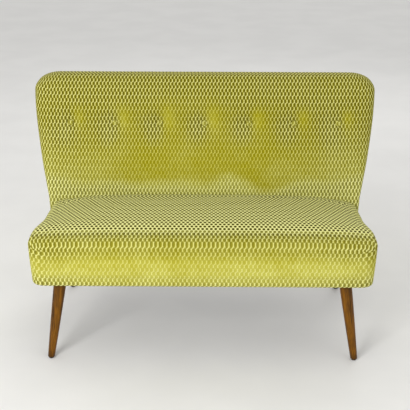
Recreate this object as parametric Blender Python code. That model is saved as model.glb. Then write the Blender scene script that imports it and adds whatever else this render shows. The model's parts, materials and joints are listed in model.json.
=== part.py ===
"""Armless two-seater settee: hardwood frame, sprung seat, flared buttoned back and splayed legs.

Lengths are metres. Seen from the front, +X runs to the right, +Y to the rear and +Z up, and left and right
in the names are those of that view. The floor is z = 0. Each piece is drawn in the frame of the empty
"seat_front", whose origin lies on the floor below the middle of the seat's front face, so a piece's Y is its
depth behind that face.
"""

import math
from functools import partial

import bmesh
import bpy
from mathutils import Matrix, Vector

# Overall sizes
SEAT_DEPTH = 0.450
SEAT_HEIGHT = 0.469
SEAT_THICKNESS = 0.189
OVERALL_HEIGHT = 0.860
BACK_WIDTH = 1.261
SIDE_FLARE = 0.0555
BACK_FOOT_DEPTH = 0.1085
BACK_TOP_THICKNESS = 0.095
RECLINE_DEGREES = 14.5

# Fits between pieces
CLEARANCE = 0.0003
OVERRUN = 0.010
MERGE_DISTANCE = 0.00002

# Seat cover
COVER_THICKNESS = 0.0025
FRONT_ROLL = 0.020
SIDE_ROLL = 0.045
COVER_LIP = 0.015
CORNER_ACROSS = 0.048
CORNER_ALONG = 0.030
CROWN_PEAK_DEPTH = 0.113
FRONT_FALL = 0.0255
REAR_FALL = 0.044
SIDE_FALL = 0.024

# Seat foam, whose wall the covers turn round at the bottom
FOAM_WALL = 0.012

# Back cover
FLARE_RISE = 0.110
TOP_ROLL = 0.040
SEAM_ROLL = 0.012
REAR_ROLL = 0.012
REAR_LIP = 0.016
TOP_CORNER_WIDTH = 0.090
TOP_CORNER_HEIGHT = 0.055
LUMBAR_SWELL = 0.018
SHOULDER_SWELL = 0.010
BACK_SIDE_FALL = 0.008

# Back foam
TOP_FOAM = 0.040
SIDE_FOAM_AT_TOP = 0.0155

# Buttons, twines and toggles
BUTTON_COUNT = 7
BUTTON_DROP = 0.165
BUTTON_MARGIN = 0.1296
BUTTON_DIAMETER = 0.022
BUTTON_THICKNESS = 0.0065
BUTTON_EDGE = 0.0018
BUTTON_BAND = 0.012
TUFT_DEPTH = 0.006
TUFT_REACH = 0.050
TWINE_DIAMETER = 0.002
TWINE_HOLE_DIAMETER = 0.005
TOGGLE_DIAMETER = 0.018
TOGGLE_THICKNESS = 0.003

# Frame timber
RAIL_THICKNESS = 0.028
RAIL_CHAMFER = 0.022
FRONT_RAIL_HEIGHT = 0.112
REAR_RAIL_HEIGHT = 0.060
STRETCHER_HEIGHT = 0.040
POST_WIDTH = 0.028
POST_DEPTH = 0.045
TOP_RAIL_HEIGHT = 0.060
LUMBAR_RAIL_HEIGHT = 0.060
LUMBAR_RAIL_RISE = 0.015
BLOCK_WIDTH = 0.096
BLOCK_DEPTH = 0.091
BLOCK_HEIGHT = 0.050

# Post screws
SCREW_HEAD_DIAMETER = 0.014
SCREW_HEAD_HEIGHT = 0.005
SCREW_DIAMETER = 0.007
SCREW_LENGTH = 0.048
SCREW_EDGE = 0.030

# Springs
SPRING_COUNT = 6
SPRING_BARS = 17
SPRING_HALF_WIDTH = 0.021
SPRING_BULGE = 0.006
WIRE_DIAMETER = 0.0038
SPRING_EDGE_SPACE = 0.085
SPRING_INSET = 0.011

# Cloths and webbing
HESSIAN_THICKNESS = 0.001
WEBBING_THICKNESS = 0.0015
WEBBING_WIDTH = 0.050
WEBBING_TURN = 0.004
STRAP_PITCH = 0.077
STRAP_SPACE = 0.015
DUST_COVER_THICKNESS = 0.001
DUST_COVER_MARGIN = 0.001
PANEL_THICKNESS = 0.003
PANEL_MARGIN = 0.001

# Legs, glides and their fixings
LEG_TOP_DIAMETER = 0.044
LEG_FOOT_DIAMETER = 0.024
LEG_CHAMFER = 0.0015
LEG_SIDE_INSET = 0.091
LEG_FRONT_SPACE = 0.0095
LEG_REAR_INSET = 0.040
SPLAY_ACROSS = 0.0405
SPLAY_ALONG = 0.041
REAR_RAKE = 0.050
GLIDE_DIAMETER = 0.018
GLIDE_HEIGHT = 0.005
GLIDE_ROUNDING = 0.0015
BOLT_DIAMETER = 0.008
BOLT_IN_LEG = 0.035
BOLT_ABOVE_BLOCK = 0.005
NUT_BARREL_DIAMETER = 0.010
NUT_BARREL_LENGTH = 0.010
NUT_FLANGE_DIAMETER = 0.022
NUT_FLANGE_THICKNESS = 0.0015

# Grid lines, as shares of the spans that they divide
CORNER_SHARES = (math.tan(math.pi / 8), 1.0)
SEAT_COLUMN_SHARES = (0.0, 0.2, 0.4, 0.6, 0.8, 1.0)
SEAT_ROW_SHARES = (0.0, 0.06, 0.126, 0.2, 0.33, 0.5, 0.7, 0.86, 1.0)
SIDE_ROW_SHARES = (0.5, 1.0)
LUMBAR_ROW_SHARES = (0.26, 0.51, 0.75)
SHOULDER_ROW_SHARE = 0.48
ROLL_STEPS = 3
BOTTOM_STEPS = 2
CROWN_POWER = 1.6
FLARE_POWER = 1.22
SIDE_POWER = 4

# Facets of round pieces
LEG_FACETS = 24
SMALL_FACETS = 16
NUT_FACETS = 12
HOLE_FACETS = 8
TWINE_FACETS = 6

# Places and levels worked out from the sizes
RECLINE = math.tan(math.radians(RECLINE_DEGREES))
BACK_HALF = BACK_WIDTH / 2
SEAT_HALF = BACK_HALF - SIDE_FLARE
UNDERSIDE_HEIGHT = SEAT_HEIGHT - SEAT_THICKNESS
JUNCTION_HEIGHT = SEAT_HEIGHT - REAR_FALL
FLARE_HEIGHT = UNDERSIDE_HEIGHT + FLARE_RISE
BOTTOM_ROLL = FOAM_WALL + COVER_THICKNESS
FRAME_BOTTOM = UNDERSIDE_HEIGHT + COVER_THICKNESS + 2 * CLEARANCE
DUST_COVER_TOP = FRAME_BOTTOM - CLEARANCE
DUST_COVER_BOTTOM = DUST_COVER_TOP - DUST_COVER_THICKNESS
LEG_TOP = DUST_COVER_BOTTOM - CLEARANCE
BACK_FRONT = SEAT_DEPTH + CLEARANCE
ROLL_START_HEIGHT = OVERALL_HEIGHT - TOP_ROLL
CORNER_START_HEIGHT = OVERALL_HEIGHT - TOP_CORNER_HEIGHT
BUTTON_HEIGHT = OVERALL_HEIGHT - BUTTON_DROP
OUTSIDE_FOOT = SEAT_DEPTH + BACK_FOOT_DEPTH
OUTSIDE_HEAD = BACK_FRONT + RECLINE * (ROLL_START_HEIGHT - JUNCTION_HEIGHT) + BACK_TOP_THICKNESS
OUTSIDE_SLOPE = (OUTSIDE_HEAD - OUTSIDE_FOOT) / (ROLL_START_HEIGHT - UNDERSIDE_HEIGHT)
FRAME_HALF = SEAT_HALF - COVER_THICKNESS - FOAM_WALL - 2 * CLEARANCE
FRAME_FRONT = COVER_THICKNESS + FOAM_WALL + 2 * CLEARANCE
SIDE_RAIL_INNER = FRAME_HALF - RAIL_THICKNESS
POST_FOOT_OUTER = SIDE_RAIL_INNER - CLEARANCE
POST_HEAD_OUTER = BACK_HALF - COVER_THICKNESS - SIDE_FOAM_AT_TOP - 2 * CLEARANCE
POST_TOP = OVERALL_HEIGHT - COVER_THICKNESS - TOP_FOAM - 2 * CLEARANCE


def shade(red, green, blue):
    """Linear colour of a tone as a screen shows it, 0 to 255."""
    tones = [tone / 255 for tone in (red, green, blue)]
    linear = [t / 12.92 if t <= 0.04045 else ((t + 0.055) / 1.055) ** 2.4 for t in tones]
    return (*linear, 1.0)


FINISHES = {
    "velvet": (shade(178, 170, 66), 0.85, 0.0),
    "foam": (shade(226, 214, 170), 0.95, 0.0),
    "beech": (shade(196, 158, 112), 0.60, 0.0),
    "lacquered_wood": (shade(125, 70, 15), 0.30, 0.0),
    "hessian": (shade(168, 140, 96), 0.95, 0.0),
    "webbing": (shade(120, 98, 66), 0.90, 0.0),
    "black_cloth": (shade(38, 36, 34), 0.95, 0.0),
    "twine": (shade(205, 190, 150), 0.90, 0.0),
    "spring_steel": (shade(96, 98, 102), 0.40, 1.0),
    "zinc": (shade(178, 180, 184), 0.35, 1.0),
    "dark_nickel": (shade(70, 62, 54), 0.35, 1.0),
}


# Building helpers


def clear_scene():
    for old in list(bpy.data.objects):
        bpy.data.objects.remove(old, do_unlink=True)


def finish_material(finish):
    """The Principled material of a finish, made on first use."""
    material = bpy.data.materials.get(finish)
    if material is None:
        material = bpy.data.materials.new(finish)
        material.use_nodes = True
        shader = material.node_tree.nodes["Principled BSDF"]
        colour, roughness, metallic = FINISHES[finish]
        shader.inputs["Base Color"].default_value = colour
        shader.inputs["Roughness"].default_value = roughness
        shader.inputs["Metallic"].default_value = metallic
        material.diffuse_color = colour
    return material


def place_object(name, data, finish, location=(0, 0, 0), rotation=(0, 0, 0)):
    """Links data as an object under the seat_front empty."""
    obj = bpy.data.objects.new(name, data)
    bpy.context.scene.collection.objects.link(obj)
    obj.parent = bpy.data.objects["seat_front"]
    obj.location = location
    obj.rotation_euler = rotation
    if finish:
        data.materials.append(finish_material(finish))
    return obj


def publish(bm, name, finish, location=(0, 0, 0), rotation=(0, 0, 0), smooth=False):
    """Turns a finished bmesh into a named object."""
    bmesh.ops.recalc_face_normals(bm, faces=bm.faces)
    mesh = bpy.data.meshes.new(name)
    bm.to_mesh(mesh)
    bm.free()
    if smooth:
        mesh.shade_smooth()
        mesh.set_sharp_from_angle(angle=math.radians(40))
    return place_object(name, mesh, finish, location, rotation)


def ring(left, right, front, rear, height):
    """Corners of one section of a block; the height is a level or a function of depth."""
    level = height if callable(height) else lambda depth: height
    return [
        (left, front, level(front)),
        (right, front, level(front)),
        (right, rear, level(rear)),
        (left, rear, level(rear)),
    ]


def add_block(bm, rings):
    """Adds a closed block through sections that are given from the bottom up."""
    corners = [bm.verts.new(corner) for corner in rings[0]]
    top = bm.faces.new(corners)
    for section in rings[1:]:
        before = list(top.verts)
        region = [top, *top.edges, *top.verts]
        grown = bmesh.ops.extrude_face_region(bm, geom=region)
        fresh = [item for item in grown["geom"] if isinstance(item, bmesh.types.BMVert)]
        targets = {corner.co.to_tuple(6): place for corner, place in zip(before, section)}
        for vertex in fresh:
            vertex.co = targets[vertex.co.to_tuple(6)]
        top = next(item for item in grown["geom"] if isinstance(item, bmesh.types.BMFace))
    return bm


def block(name, finish, *rings):
    """A timber, strap or plate with flat sides, through its sections."""
    return publish(add_block(bmesh.new(), rings), name, finish)


def add_rod(bm, start, end, diameter, facets):
    """Adds a round bar between two points."""
    start, end = Vector(start), Vector(end)
    along = end - start
    turn = along.to_track_quat("Z", "Y").to_matrix().to_4x4()
    bmesh.ops.create_cone(
        bm,
        cap_ends=True,
        segments=facets,
        radius1=diameter / 2,
        radius2=diameter / 2,
        depth=along.length,
        matrix=Matrix.Translation((start + end) / 2) @ turn,
    )


def add_turned(bm, profile, facets, matrix=Matrix()):
    """Adds a piece turned about Z from (radius, height) points, then moved by the matrix."""
    points = [bm.verts.new((radius, 0, height)) for radius, height in profile]
    edges = [bm.edges.new(pair) for pair in zip(points, points[1:])]
    if profile[0][0] > 0:
        edges.append(bm.edges.new((points[-1], points[0])))
    bmesh.ops.spin(
        bm,
        geom=points + edges,
        cent=(0, 0, 0),
        axis=(0, 0, 1),
        angle=math.tau,
        steps=facets,
        use_merge=True,
    )
    connected = set(points)
    frontier = list(points)
    while frontier:
        vertex = frontier.pop()
        for edge in vertex.link_edges:
            other = edge.other_vert(vertex)
            if other not in connected:
                connected.add(other)
                frontier.append(other)
    welded = bmesh.ops.find_doubles(bm, verts=list(connected), dist=MERGE_DISTANCE)["targetmap"]
    kept = connected - set(welded)
    bmesh.ops.weld_verts(bm, targetmap=welded)
    bmesh.ops.transform(bm, matrix=matrix, verts=list(kept))


def cut(target, cutter):
    """Takes the cutter's space out of the target."""
    cutter.hide_render = True
    cutter.display_type = "WIRE"
    boolean = target.modifiers.new("cut_" + cutter.name, "BOOLEAN")
    boolean.operation = "DIFFERENCE"
    boolean.object = cutter


def drill(target, label, rods, facets):
    """Drills round holes, each given as (start, end, diameter), full size across their flats."""
    bm = bmesh.new()
    for start, end, diameter in rods:
        add_rod(bm, start, end, diameter / math.cos(math.pi / facets), facets)
    cut(target, publish(bm, f"{target.name}_{label}", None))


# Draped surfaces of covers and foams


def corner_offset(across, along, reach_across, reach_along):
    """Place inside a rounded corner of a grid point that is given by shares of the corner's box."""
    length = math.hypot(across, along)
    if length == 0:
        return 0.0, 0.0
    rounding = max(across, along) / length
    return across * rounding * reach_across, along * rounding * reach_along


def mirrored_columns(shares):
    """Grid columns from left to right, as (straight share, corner share, side)."""
    half = [(share, 0.0, 1) for share in shares if share > 0]
    half += [(1.0, share, 1) for share in CORNER_SHARES]
    left = [(-straight, corner, -1) for straight, corner, _ in reversed(half)]
    return left + [(0.0, 0.0, 1)] + half


def draped_surface(columns, rows, steps, place):
    """A sheet over a face and carried round three of its edges, all but the last row's."""
    bm = bmesh.new()
    bmesh.ops.create_grid(bm, x_segments=len(columns) - 1, y_segments=len(rows) - 1, size=1)
    for vertex in bm.verts:
        vertex.co.x = round((vertex.co.x + 1) / 2 * (len(columns) - 1))
        vertex.co.y = round((vertex.co.y + 1) / 2 * (len(rows) - 1))
    last = len(rows) - 1
    edges = [e for e in bm.edges if e.is_boundary and not all(v.co.y == last for v in e.verts)]
    for _ in range(steps):
        grown = bmesh.ops.extrude_edge_only(bm, edges=edges)["geom"]
        edges = [item for item in grown if isinstance(item, bmesh.types.BMEdge)]
        fresh = [item for item in grown if isinstance(item, bmesh.types.BMVert)]
        bmesh.ops.translate(bm, verts=fresh, vec=(0, 0, 1))
        edges = [e for e in edges if all(v in fresh for v in e.verts)]
    bmesh.ops.recalc_face_normals(bm, faces=bm.faces)
    ends = [v for v in bm.verts if v.co.y == last]
    hems = [v for v in bm.verts if v.co.z == steps]
    for vertex in bm.verts:
        column = columns[round(vertex.co.x)]
        row = rows[round(vertex.co.y)]
        vertex.co = place(column, row, round(vertex.co.z))
    return bm, ends, hems


def inward_moves(bm, distance):
    """How far each vertex moves for the sheet to lie this much deeper, with its normals facing out."""
    bm.normal_update()
    return [v.normal * (-distance * v.calc_shell_factor()) for v in bm.verts]


def face_outwards(bm, inside):
    """Turns all faces of an open sheet away from a point inside it."""
    bm.normal_update()
    face = max(bm.faces, key=lambda f: f.calc_area())
    if face.normal.dot(face.calc_center_median() - Vector(inside)) < 0:
        bmesh.ops.reverse_faces(bm, faces=bm.faces)


def shell(bm, inside):
    """Gives the sheet the cover's thickness, inwards."""
    face_outwards(bm, inside)
    bm.verts.index_update()
    moves = inward_moves(bm, COVER_THICKNESS)
    tag = bm.verts.layers.int.new("source")
    for vertex in bm.verts:
        vertex[tag] = vertex.index
    outer = set(bm.verts)
    bmesh.ops.extrude_face_region(bm, geom=bm.faces[:], use_keep_orig=True)
    for vertex in bm.verts:
        if vertex not in outer:
            vertex.co += moves[vertex[tag]]
    return bm


def filling(bm, ends, hems, inside, depth):
    """Closes the sheet into a solid that lies this deep inside the cover's outer face."""
    face_outwards(bm, inside)
    moves = inward_moves(bm, depth)
    for vertex, move in zip(bm.verts, moves):
        vertex.co += move
    corners = [v for v in ends if v in set(hems)]
    bm.edges.new(corners)
    for side in (ends, hems):
        edges = [e for e in bm.edges if len(e.link_faces) < 2 and all(v in side for v in e.verts)]
        closing = bmesh.ops.edgeloop_fill(bm, edges=edges)["faces"]
        bmesh.ops.triangulate(bm, faces=closing)
    return bm


# Seat shape


def seat_crown(x, depth):
    """Height of the seat's top, before its edges roll over."""
    if depth < CROWN_PEAK_DEPTH:
        fall = FRONT_FALL * (1 - depth / CROWN_PEAK_DEPTH) ** 2
    else:
        share = (depth - CROWN_PEAK_DEPTH) / (SEAT_DEPTH - CROWN_PEAK_DEPTH)
        fall = REAR_FALL * share**CROWN_POWER
    return SEAT_HEIGHT - fall - SIDE_FALL * abs(x / SEAT_HALF) ** SIDE_POWER


def seat_point(column, row, step, short=0):
    """A point of the seat's surface: step 0 is its top, then the roll, the side, the turn and the lip.

    The side stops this much short of the turn, as the foam's does.
    """
    straight, corner_x, side = column
    row_share, corner_y = row
    roll_angle = min(step / ROLL_STEPS, 1) * math.pi / 2
    down = step - ROLL_STEPS - len(SIDE_ROW_SHARES)
    turn_angle = min(max(down, 0) / BOTTOM_STEPS, 1) * math.pi / 2
    lip = COVER_LIP if down > BOTTOM_STEPS else 0
    inset = BOTTOM_ROLL * (1 - math.cos(turn_angle)) + lip
    inset_x = SIDE_ROLL * (1 - math.sin(roll_angle)) + inset
    inset_y = FRONT_ROLL * (1 - math.sin(roll_angle)) + inset
    offset_x, offset_y = corner_offset(
        corner_x, corner_y, CORNER_ACROSS - inset_x, CORNER_ALONG - inset_y
    )
    x = straight * (SEAT_HALF - CORNER_ACROSS) + side * offset_x
    depth = CORNER_ALONG + row_share * (SEAT_DEPTH - CORNER_ALONG) - offset_y
    sideways = math.atan2(corner_x, corner_y) / (math.pi / 2)
    roll = FRONT_ROLL + (SIDE_ROLL - FRONT_ROLL) * sideways
    top = seat_crown(x, depth) - roll * (1 - math.cos(roll_angle))
    if step <= ROLL_STEPS:
        return Vector((x, depth, top))
    turn_top = UNDERSIDE_HEIGHT + BOTTOM_ROLL
    if down <= 0:
        share = SIDE_ROW_SHARES[step - ROLL_STEPS - 1]
        return Vector((x, depth, top + share * (turn_top + short - top)))
    return Vector((x, depth, turn_top - BOTTOM_ROLL * math.sin(turn_angle)))


def seat_sheet(steps, short=0):
    """The seat's outer surface down to a step of its skirt."""
    rows = [(0.0, share) for share in reversed(CORNER_SHARES)]
    rows += [(share, 0.0) for share in SEAT_ROW_SHARES]
    place = partial(seat_point, short=short)
    return draped_surface(mirrored_columns(SEAT_COLUMN_SHARES), rows, steps, place)


# Back shape


def eased(share):
    """A share held between 0 and 1 and eased at both ends."""
    share = min(max(share, 0), 1)
    return share * share * (3 - 2 * share)


def back_half_width(height):
    """Half the back's width at a height: straight beside the seat, then flared, and turned in below."""
    share = (height - FLARE_HEIGHT) / (CORNER_START_HEIGHT - FLARE_HEIGHT)
    flare = math.sin(math.pi / 2 * min(max(share, 0), 1)) ** FLARE_POWER
    half = SEAT_HALF + (BACK_HALF - SEAT_HALF) * flare
    under = BOTTOM_ROLL - (height - UNDERSIDE_HEIGHT)
    if under > 0:
        half -= BOTTOM_ROLL - math.sqrt(max(BOTTOM_ROLL**2 - under**2, 0))
    return half


def outside_face(height):
    """Depth of the flat outside back at a height."""
    return OUTSIDE_FOOT + OUTSIDE_SLOPE * (height - UNDERSIDE_HEIGHT)


BUTTON_SPAN = back_half_width(BUTTON_HEIGHT) - BUTTON_MARGIN
BUTTON_SPACING = 2 * BUTTON_SPAN / (BUTTON_COUNT - 1)


def tuft(x, height):
    """How deep the row of buttons pulls the back in at a place."""
    reach = max(abs(height - BUTTON_HEIGHT) - BUTTON_BAND, 0) / TUFT_REACH
    wave = math.cos(math.pi * (x + BUTTON_SPAN) / BUTTON_SPACING) ** 2
    beside = eased(1 - (abs(x) - BUTTON_SPAN) / BUTTON_SPACING)
    return TUFT_DEPTH * wave * beside * max(1 - reach, 0)


def back_face(x, height):
    """Depth of the inside back at a place, before its edges roll over."""
    rise = max(height - JUNCTION_HEIGHT, 0)
    lumbar_top = BUTTON_HEIGHT - BUTTON_BAND
    shoulder_foot = BUTTON_HEIGHT + BUTTON_BAND
    swell = 0.0
    if JUNCTION_HEIGHT < height < lumbar_top:
        share = (height - JUNCTION_HEIGHT) / (lumbar_top - JUNCTION_HEIGHT)
        swell = LUMBAR_SWELL * math.sin(math.pi * share)
    elif shoulder_foot < height < ROLL_START_HEIGHT:
        share = (height - shoulder_foot) / (ROLL_START_HEIGHT - shoulder_foot)
        swell = SHOULDER_SWELL * math.sin(math.pi * share)
    outward = min(abs(x) / BACK_HALF, 1) ** SIDE_POWER
    above = eased(rise / (BUTTON_HEIGHT - JUNCTION_HEIGHT))
    fall = BACK_SIDE_FALL * outward * above
    return BACK_FRONT + rise * RECLINE - swell * (1 - outward) + fall + tuft(x, height)


def edge_roll(height):
    """Radius of the back's front edge: tight beside the seat, full above it."""
    share = eased((height - FLARE_HEIGHT) / (BUTTON_HEIGHT - FLARE_HEIGHT))
    return SEAM_ROLL + (TOP_ROLL - SEAM_ROLL) * share


def back_point(column, row, step, short=0):
    """A point of the back's surface: step 0 is its face, then the roll, the side, the turn and the lip.

    The side stops this much short of the turn, as the foam's does.
    """
    straight, corner_x, side = column
    level, corner_z = row
    roll_angle = min(step / ROLL_STEPS, 1) * math.pi / 2
    past = step - ROLL_STEPS - 1
    turn_angle = min(max(past, 0) / BOTTOM_STEPS, 1) * math.pi / 2
    lip = REAR_LIP if past > BOTTOM_STEPS else 0
    roll = edge_roll(level)
    inset = roll * (1 - math.sin(roll_angle)) + REAR_ROLL * (1 - math.cos(turn_angle)) + lip
    offset_x, offset_z = corner_offset(
        corner_x, corner_z, TOP_CORNER_WIDTH - inset, TOP_CORNER_HEIGHT - inset
    )
    height = level + offset_z
    x = straight * (BACK_HALF - TOP_CORNER_WIDTH) + side * offset_x
    x *= (back_half_width(height) - inset) / (BACK_HALF - inset)
    if step <= ROLL_STEPS:
        depth = back_face(x, height) + roll * (1 - math.cos(roll_angle))
    else:
        depth = outside_face(height) - REAR_ROLL * (1 - math.sin(turn_angle)) - short
    return Vector((x, depth, height))


def back_columns():
    """Grid columns through each button, between the buttons and to the corners."""
    inset = edge_roll(BUTTON_HEIGHT)
    narrowing = (back_half_width(BUTTON_HEIGHT) - inset) / (BACK_HALF - inset)
    straight = (BACK_HALF - TOP_CORNER_WIDTH) * narrowing
    shares = [index * BUTTON_SPACING / 2 / straight for index in range(BUTTON_COUNT)]
    return mirrored_columns([*shares, 1.0])


def back_rows(lowest):
    """Grid rows from the top edge down, as (level, corner share)."""
    lumbar_top = BUTTON_HEIGHT - BUTTON_BAND
    shoulder_foot = BUTTON_HEIGHT + BUTTON_BAND
    shoulder = CORNER_START_HEIGHT - shoulder_foot
    levels = [CORNER_START_HEIGHT, shoulder_foot + SHOULDER_ROW_SHARE * shoulder]
    levels += [shoulder_foot, lumbar_top]
    for share in reversed(LUMBAR_ROW_SHARES):
        levels.append(JUNCTION_HEIGHT + share * (lumbar_top - JUNCTION_HEIGHT))
    half_turn = UNDERSIDE_HEIGHT + BOTTOM_ROLL * (1 - math.sin(math.pi / 4))
    levels += [JUNCTION_HEIGHT, UNDERSIDE_HEIGHT + BOTTOM_ROLL, half_turn]
    levels = [level for level in levels if level > lowest] + [lowest]
    rows = [(CORNER_START_HEIGHT, share) for share in reversed(CORNER_SHARES)]
    return rows + [(level, 0.0) for level in levels]


def back_sheet(steps, lowest, short=0):
    """The back's outer surface to a step of its skirt and down to a level."""
    place = partial(back_point, short=short)
    return draped_surface(back_columns(), back_rows(lowest), steps, place)


# Frame places


def post_rear(height):
    return outside_face(height) - PANEL_THICKNESS - CLEARANCE


def post_front(height):
    return post_rear(height) - POST_DEPTH


FRAME_REAR = post_rear(FRAME_BOTTOM)
RAIL_SLOPE = (REAR_RAIL_HEIGHT - FRONT_RAIL_HEIGHT) / (FRAME_REAR - FRAME_FRONT)


def rail_top(depth):
    """Height of the springs' bed at a depth."""
    return FRAME_BOTTOM + FRONT_RAIL_HEIGHT + RAIL_SLOPE * (depth - FRAME_FRONT)


def hessian_bottom(depth):
    return rail_top(depth) + WIRE_DIAMETER + 2 * CLEARANCE


def deck_top(depth):
    """Height of the hessian's top, which is also the side rails' top."""
    return hessian_bottom(depth) + HESSIAN_THICKNESS


DECK_REAR = deck_top(BACK_FRONT) + CLEARANCE
LUMBAR_RAIL_BOTTOM = DECK_REAR + LUMBAR_RAIL_RISE
LUMBAR_RAIL_TOP = LUMBAR_RAIL_BOTTOM + LUMBAR_RAIL_HEIGHT
TOP_RAIL_BOTTOM = POST_TOP - TOP_RAIL_HEIGHT
FRONT_RAIL_REAR = FRAME_FRONT + RAIL_THICKNESS
REAR_RAIL_FRONT = FRAME_REAR - RAIL_THICKNESS


def post_outer(height):
    """Half the distance over the posts at a height: straight in the seat, then flared."""
    share = min(max((height - DECK_REAR) / (POST_TOP - DECK_REAR), 0), 1)
    return POST_FOOT_OUTER + share * (POST_HEAD_OUTER - POST_FOOT_OUTER)


def post_inner(height):
    return post_outer(height) - POST_WIDTH


POST_FOOT_INNER = POST_FOOT_OUTER - POST_WIDTH

# Layers in front of the posts, each as its distance from their front face
WEBBING_LAYER = CLEARANCE
HESSIAN_LAYER = WEBBING_LAYER + WEBBING_THICKNESS + CLEARANCE
FOAM_LAYER = HESSIAN_LAYER + HESSIAN_THICKNESS + CLEARANCE


# Pieces of the seat frame


def build_seat_frame():
    outline = [(FRAME_HALF, FRONT_RAIL_REAR), (FRAME_HALF, FRAME_FRONT + RAIL_CHAMFER)]
    outline.append((FRAME_HALF - RAIL_CHAMFER, FRAME_FRONT))
    outline = [(-x, depth) for x, depth in outline] + outline[::-1]
    foot = [(x, depth, FRAME_BOTTOM) for x, depth in outline]
    block("seat_front_rail", "beech", foot, [(x, depth, rail_top(depth)) for x, depth in outline])
    half = POST_FOOT_INNER - CLEARANCE
    head = FRAME_BOTTOM + REAR_RAIL_HEIGHT
    block(
        "seat_rear_rail",
        "beech",
        ring(-half, half, REAR_RAIL_FRONT, FRAME_REAR, FRAME_BOTTOM),
        ring(-half, half, post_rear(head) - RAIL_THICKNESS, post_rear(head), rail_top),
    )
    block(
        "seat_centre_stretcher",
        "beech",
        *[
            ring(
                -RAIL_THICKNESS / 2,
                RAIL_THICKNESS / 2,
                FRONT_RAIL_REAR + CLEARANCE,
                REAR_RAIL_FRONT - CLEARANCE,
                height,
            )
            for height in (FRAME_BOTTOM, FRAME_BOTTOM + STRETCHER_HEIGHT)
        ],
    )
    sides = {}
    for name, side in (("left", -1), ("right", 1)):
        start = FRONT_RAIL_REAR + CLEARANCE
        outline = [
            (side * SIDE_RAIL_INNER, start),
            (side * FRAME_HALF, start),
            (side * FRAME_HALF, FRAME_REAR - RAIL_CHAMFER),
            (side * (FRAME_HALF - RAIL_CHAMFER), FRAME_REAR),
            (side * SIDE_RAIL_INNER, FRAME_REAR),
        ]
        foot = [(x, depth, FRAME_BOTTOM) for x, depth in outline]
        head = [(x, depth, deck_top(depth)) for x, depth in outline]
        sides[side] = block(f"seat_{name}_rail", "beech", foot, head)
    return sides


def leg_places():
    """Name, top centre and travel from foot to top of each leg."""
    places = []
    for name, side in (("left", -1), ("right", 1)):
        x = side * (SEAT_HALF - LEG_SIDE_INSET)
        front = BOTTOM_ROLL + COVER_LIP + LEG_FRONT_SPACE + LEG_TOP_DIAMETER / 2
        rear = FRAME_REAR - LEG_REAR_INSET
        places.append((f"front_{name}", (x, front), (-side * SPLAY_ACROSS, SPLAY_ALONG)))
        places.append((f"rear_{name}", (x, rear), (-side * SPLAY_ACROSS, -REAR_RAKE)))
    return places


def leg_lean(centre, travel):
    """Matrix that leans an upright turned piece along a leg, about the leg's top centre."""
    height = LEG_TOP - GLIDE_HEIGHT - CLEARANCE
    lean = Matrix.Identity(4)
    lean[0][2] = travel[0] / height
    lean[1][2] = travel[1] / height
    return Matrix.Translation((*centre, LEG_TOP)) @ lean


def build_corner_blocks():
    for name, (x, depth), travel in leg_places():
        side = 1 if x > 0 else -1
        if "front" in name:
            outer = SIDE_RAIL_INNER - CLEARANCE
            front = FRONT_RAIL_REAR + CLEARANCE
        else:
            outer = POST_FOOT_INNER - CLEARANCE
            front = REAR_RAIL_FRONT - CLEARANCE - BLOCK_DEPTH
        left, right = sorted((side * outer, side * (outer - BLOCK_WIDTH)))
        sections = [
            ring(left, right, front, front + BLOCK_DEPTH, height)
            for height in (FRAME_BOTTOM, FRAME_BOTTOM + BLOCK_HEIGHT)
        ]
        made = block(f"corner_block_{name}", "beech", *sections)
        lean = leg_lean((x, depth), travel)
        drill(made, "bolt_hole", [bolt_hole(lean, OVERRUN)], HOLE_FACETS)


def bolt_hole(lean, above):
    """A hole round a leg's bolt, from below the dust cover to above the block."""
    diameter = NUT_BARREL_DIAMETER + 2 * CLEARANCE
    low = lean @ Vector((0, 0, -OVERRUN))
    high = lean @ Vector((0, 0, FRAME_BOTTOM + BLOCK_HEIGHT - LEG_TOP + above))
    return low, high, diameter


# Pieces of the back frame


def build_back_frame():
    posts = {}
    for name, side in (("left", -1), ("right", 1)):
        sections = []
        for height in (FRAME_BOTTOM, DECK_REAR, POST_TOP):
            left, right = sorted((side * post_inner(height), side * post_outer(height)))
            sections.append(ring(left, right, post_front(height), post_rear(height), height))
        posts[side] = block(f"back_{name}_post", "beech", *sections)
    for name, foot, head in (
        ("top", TOP_RAIL_BOTTOM, POST_TOP),
        ("lumbar", LUMBAR_RAIL_BOTTOM, LUMBAR_RAIL_TOP),
    ):
        sections = []
        for height in (foot, head):
            half = post_inner(height) - CLEARANCE
            front = post_front(height)
            sections.append(ring(-half, half, front, front + RAIL_THICKNESS, height))
        block(f"back_{name}_rail", "beech", *sections)
    return posts


# Post screws


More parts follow.
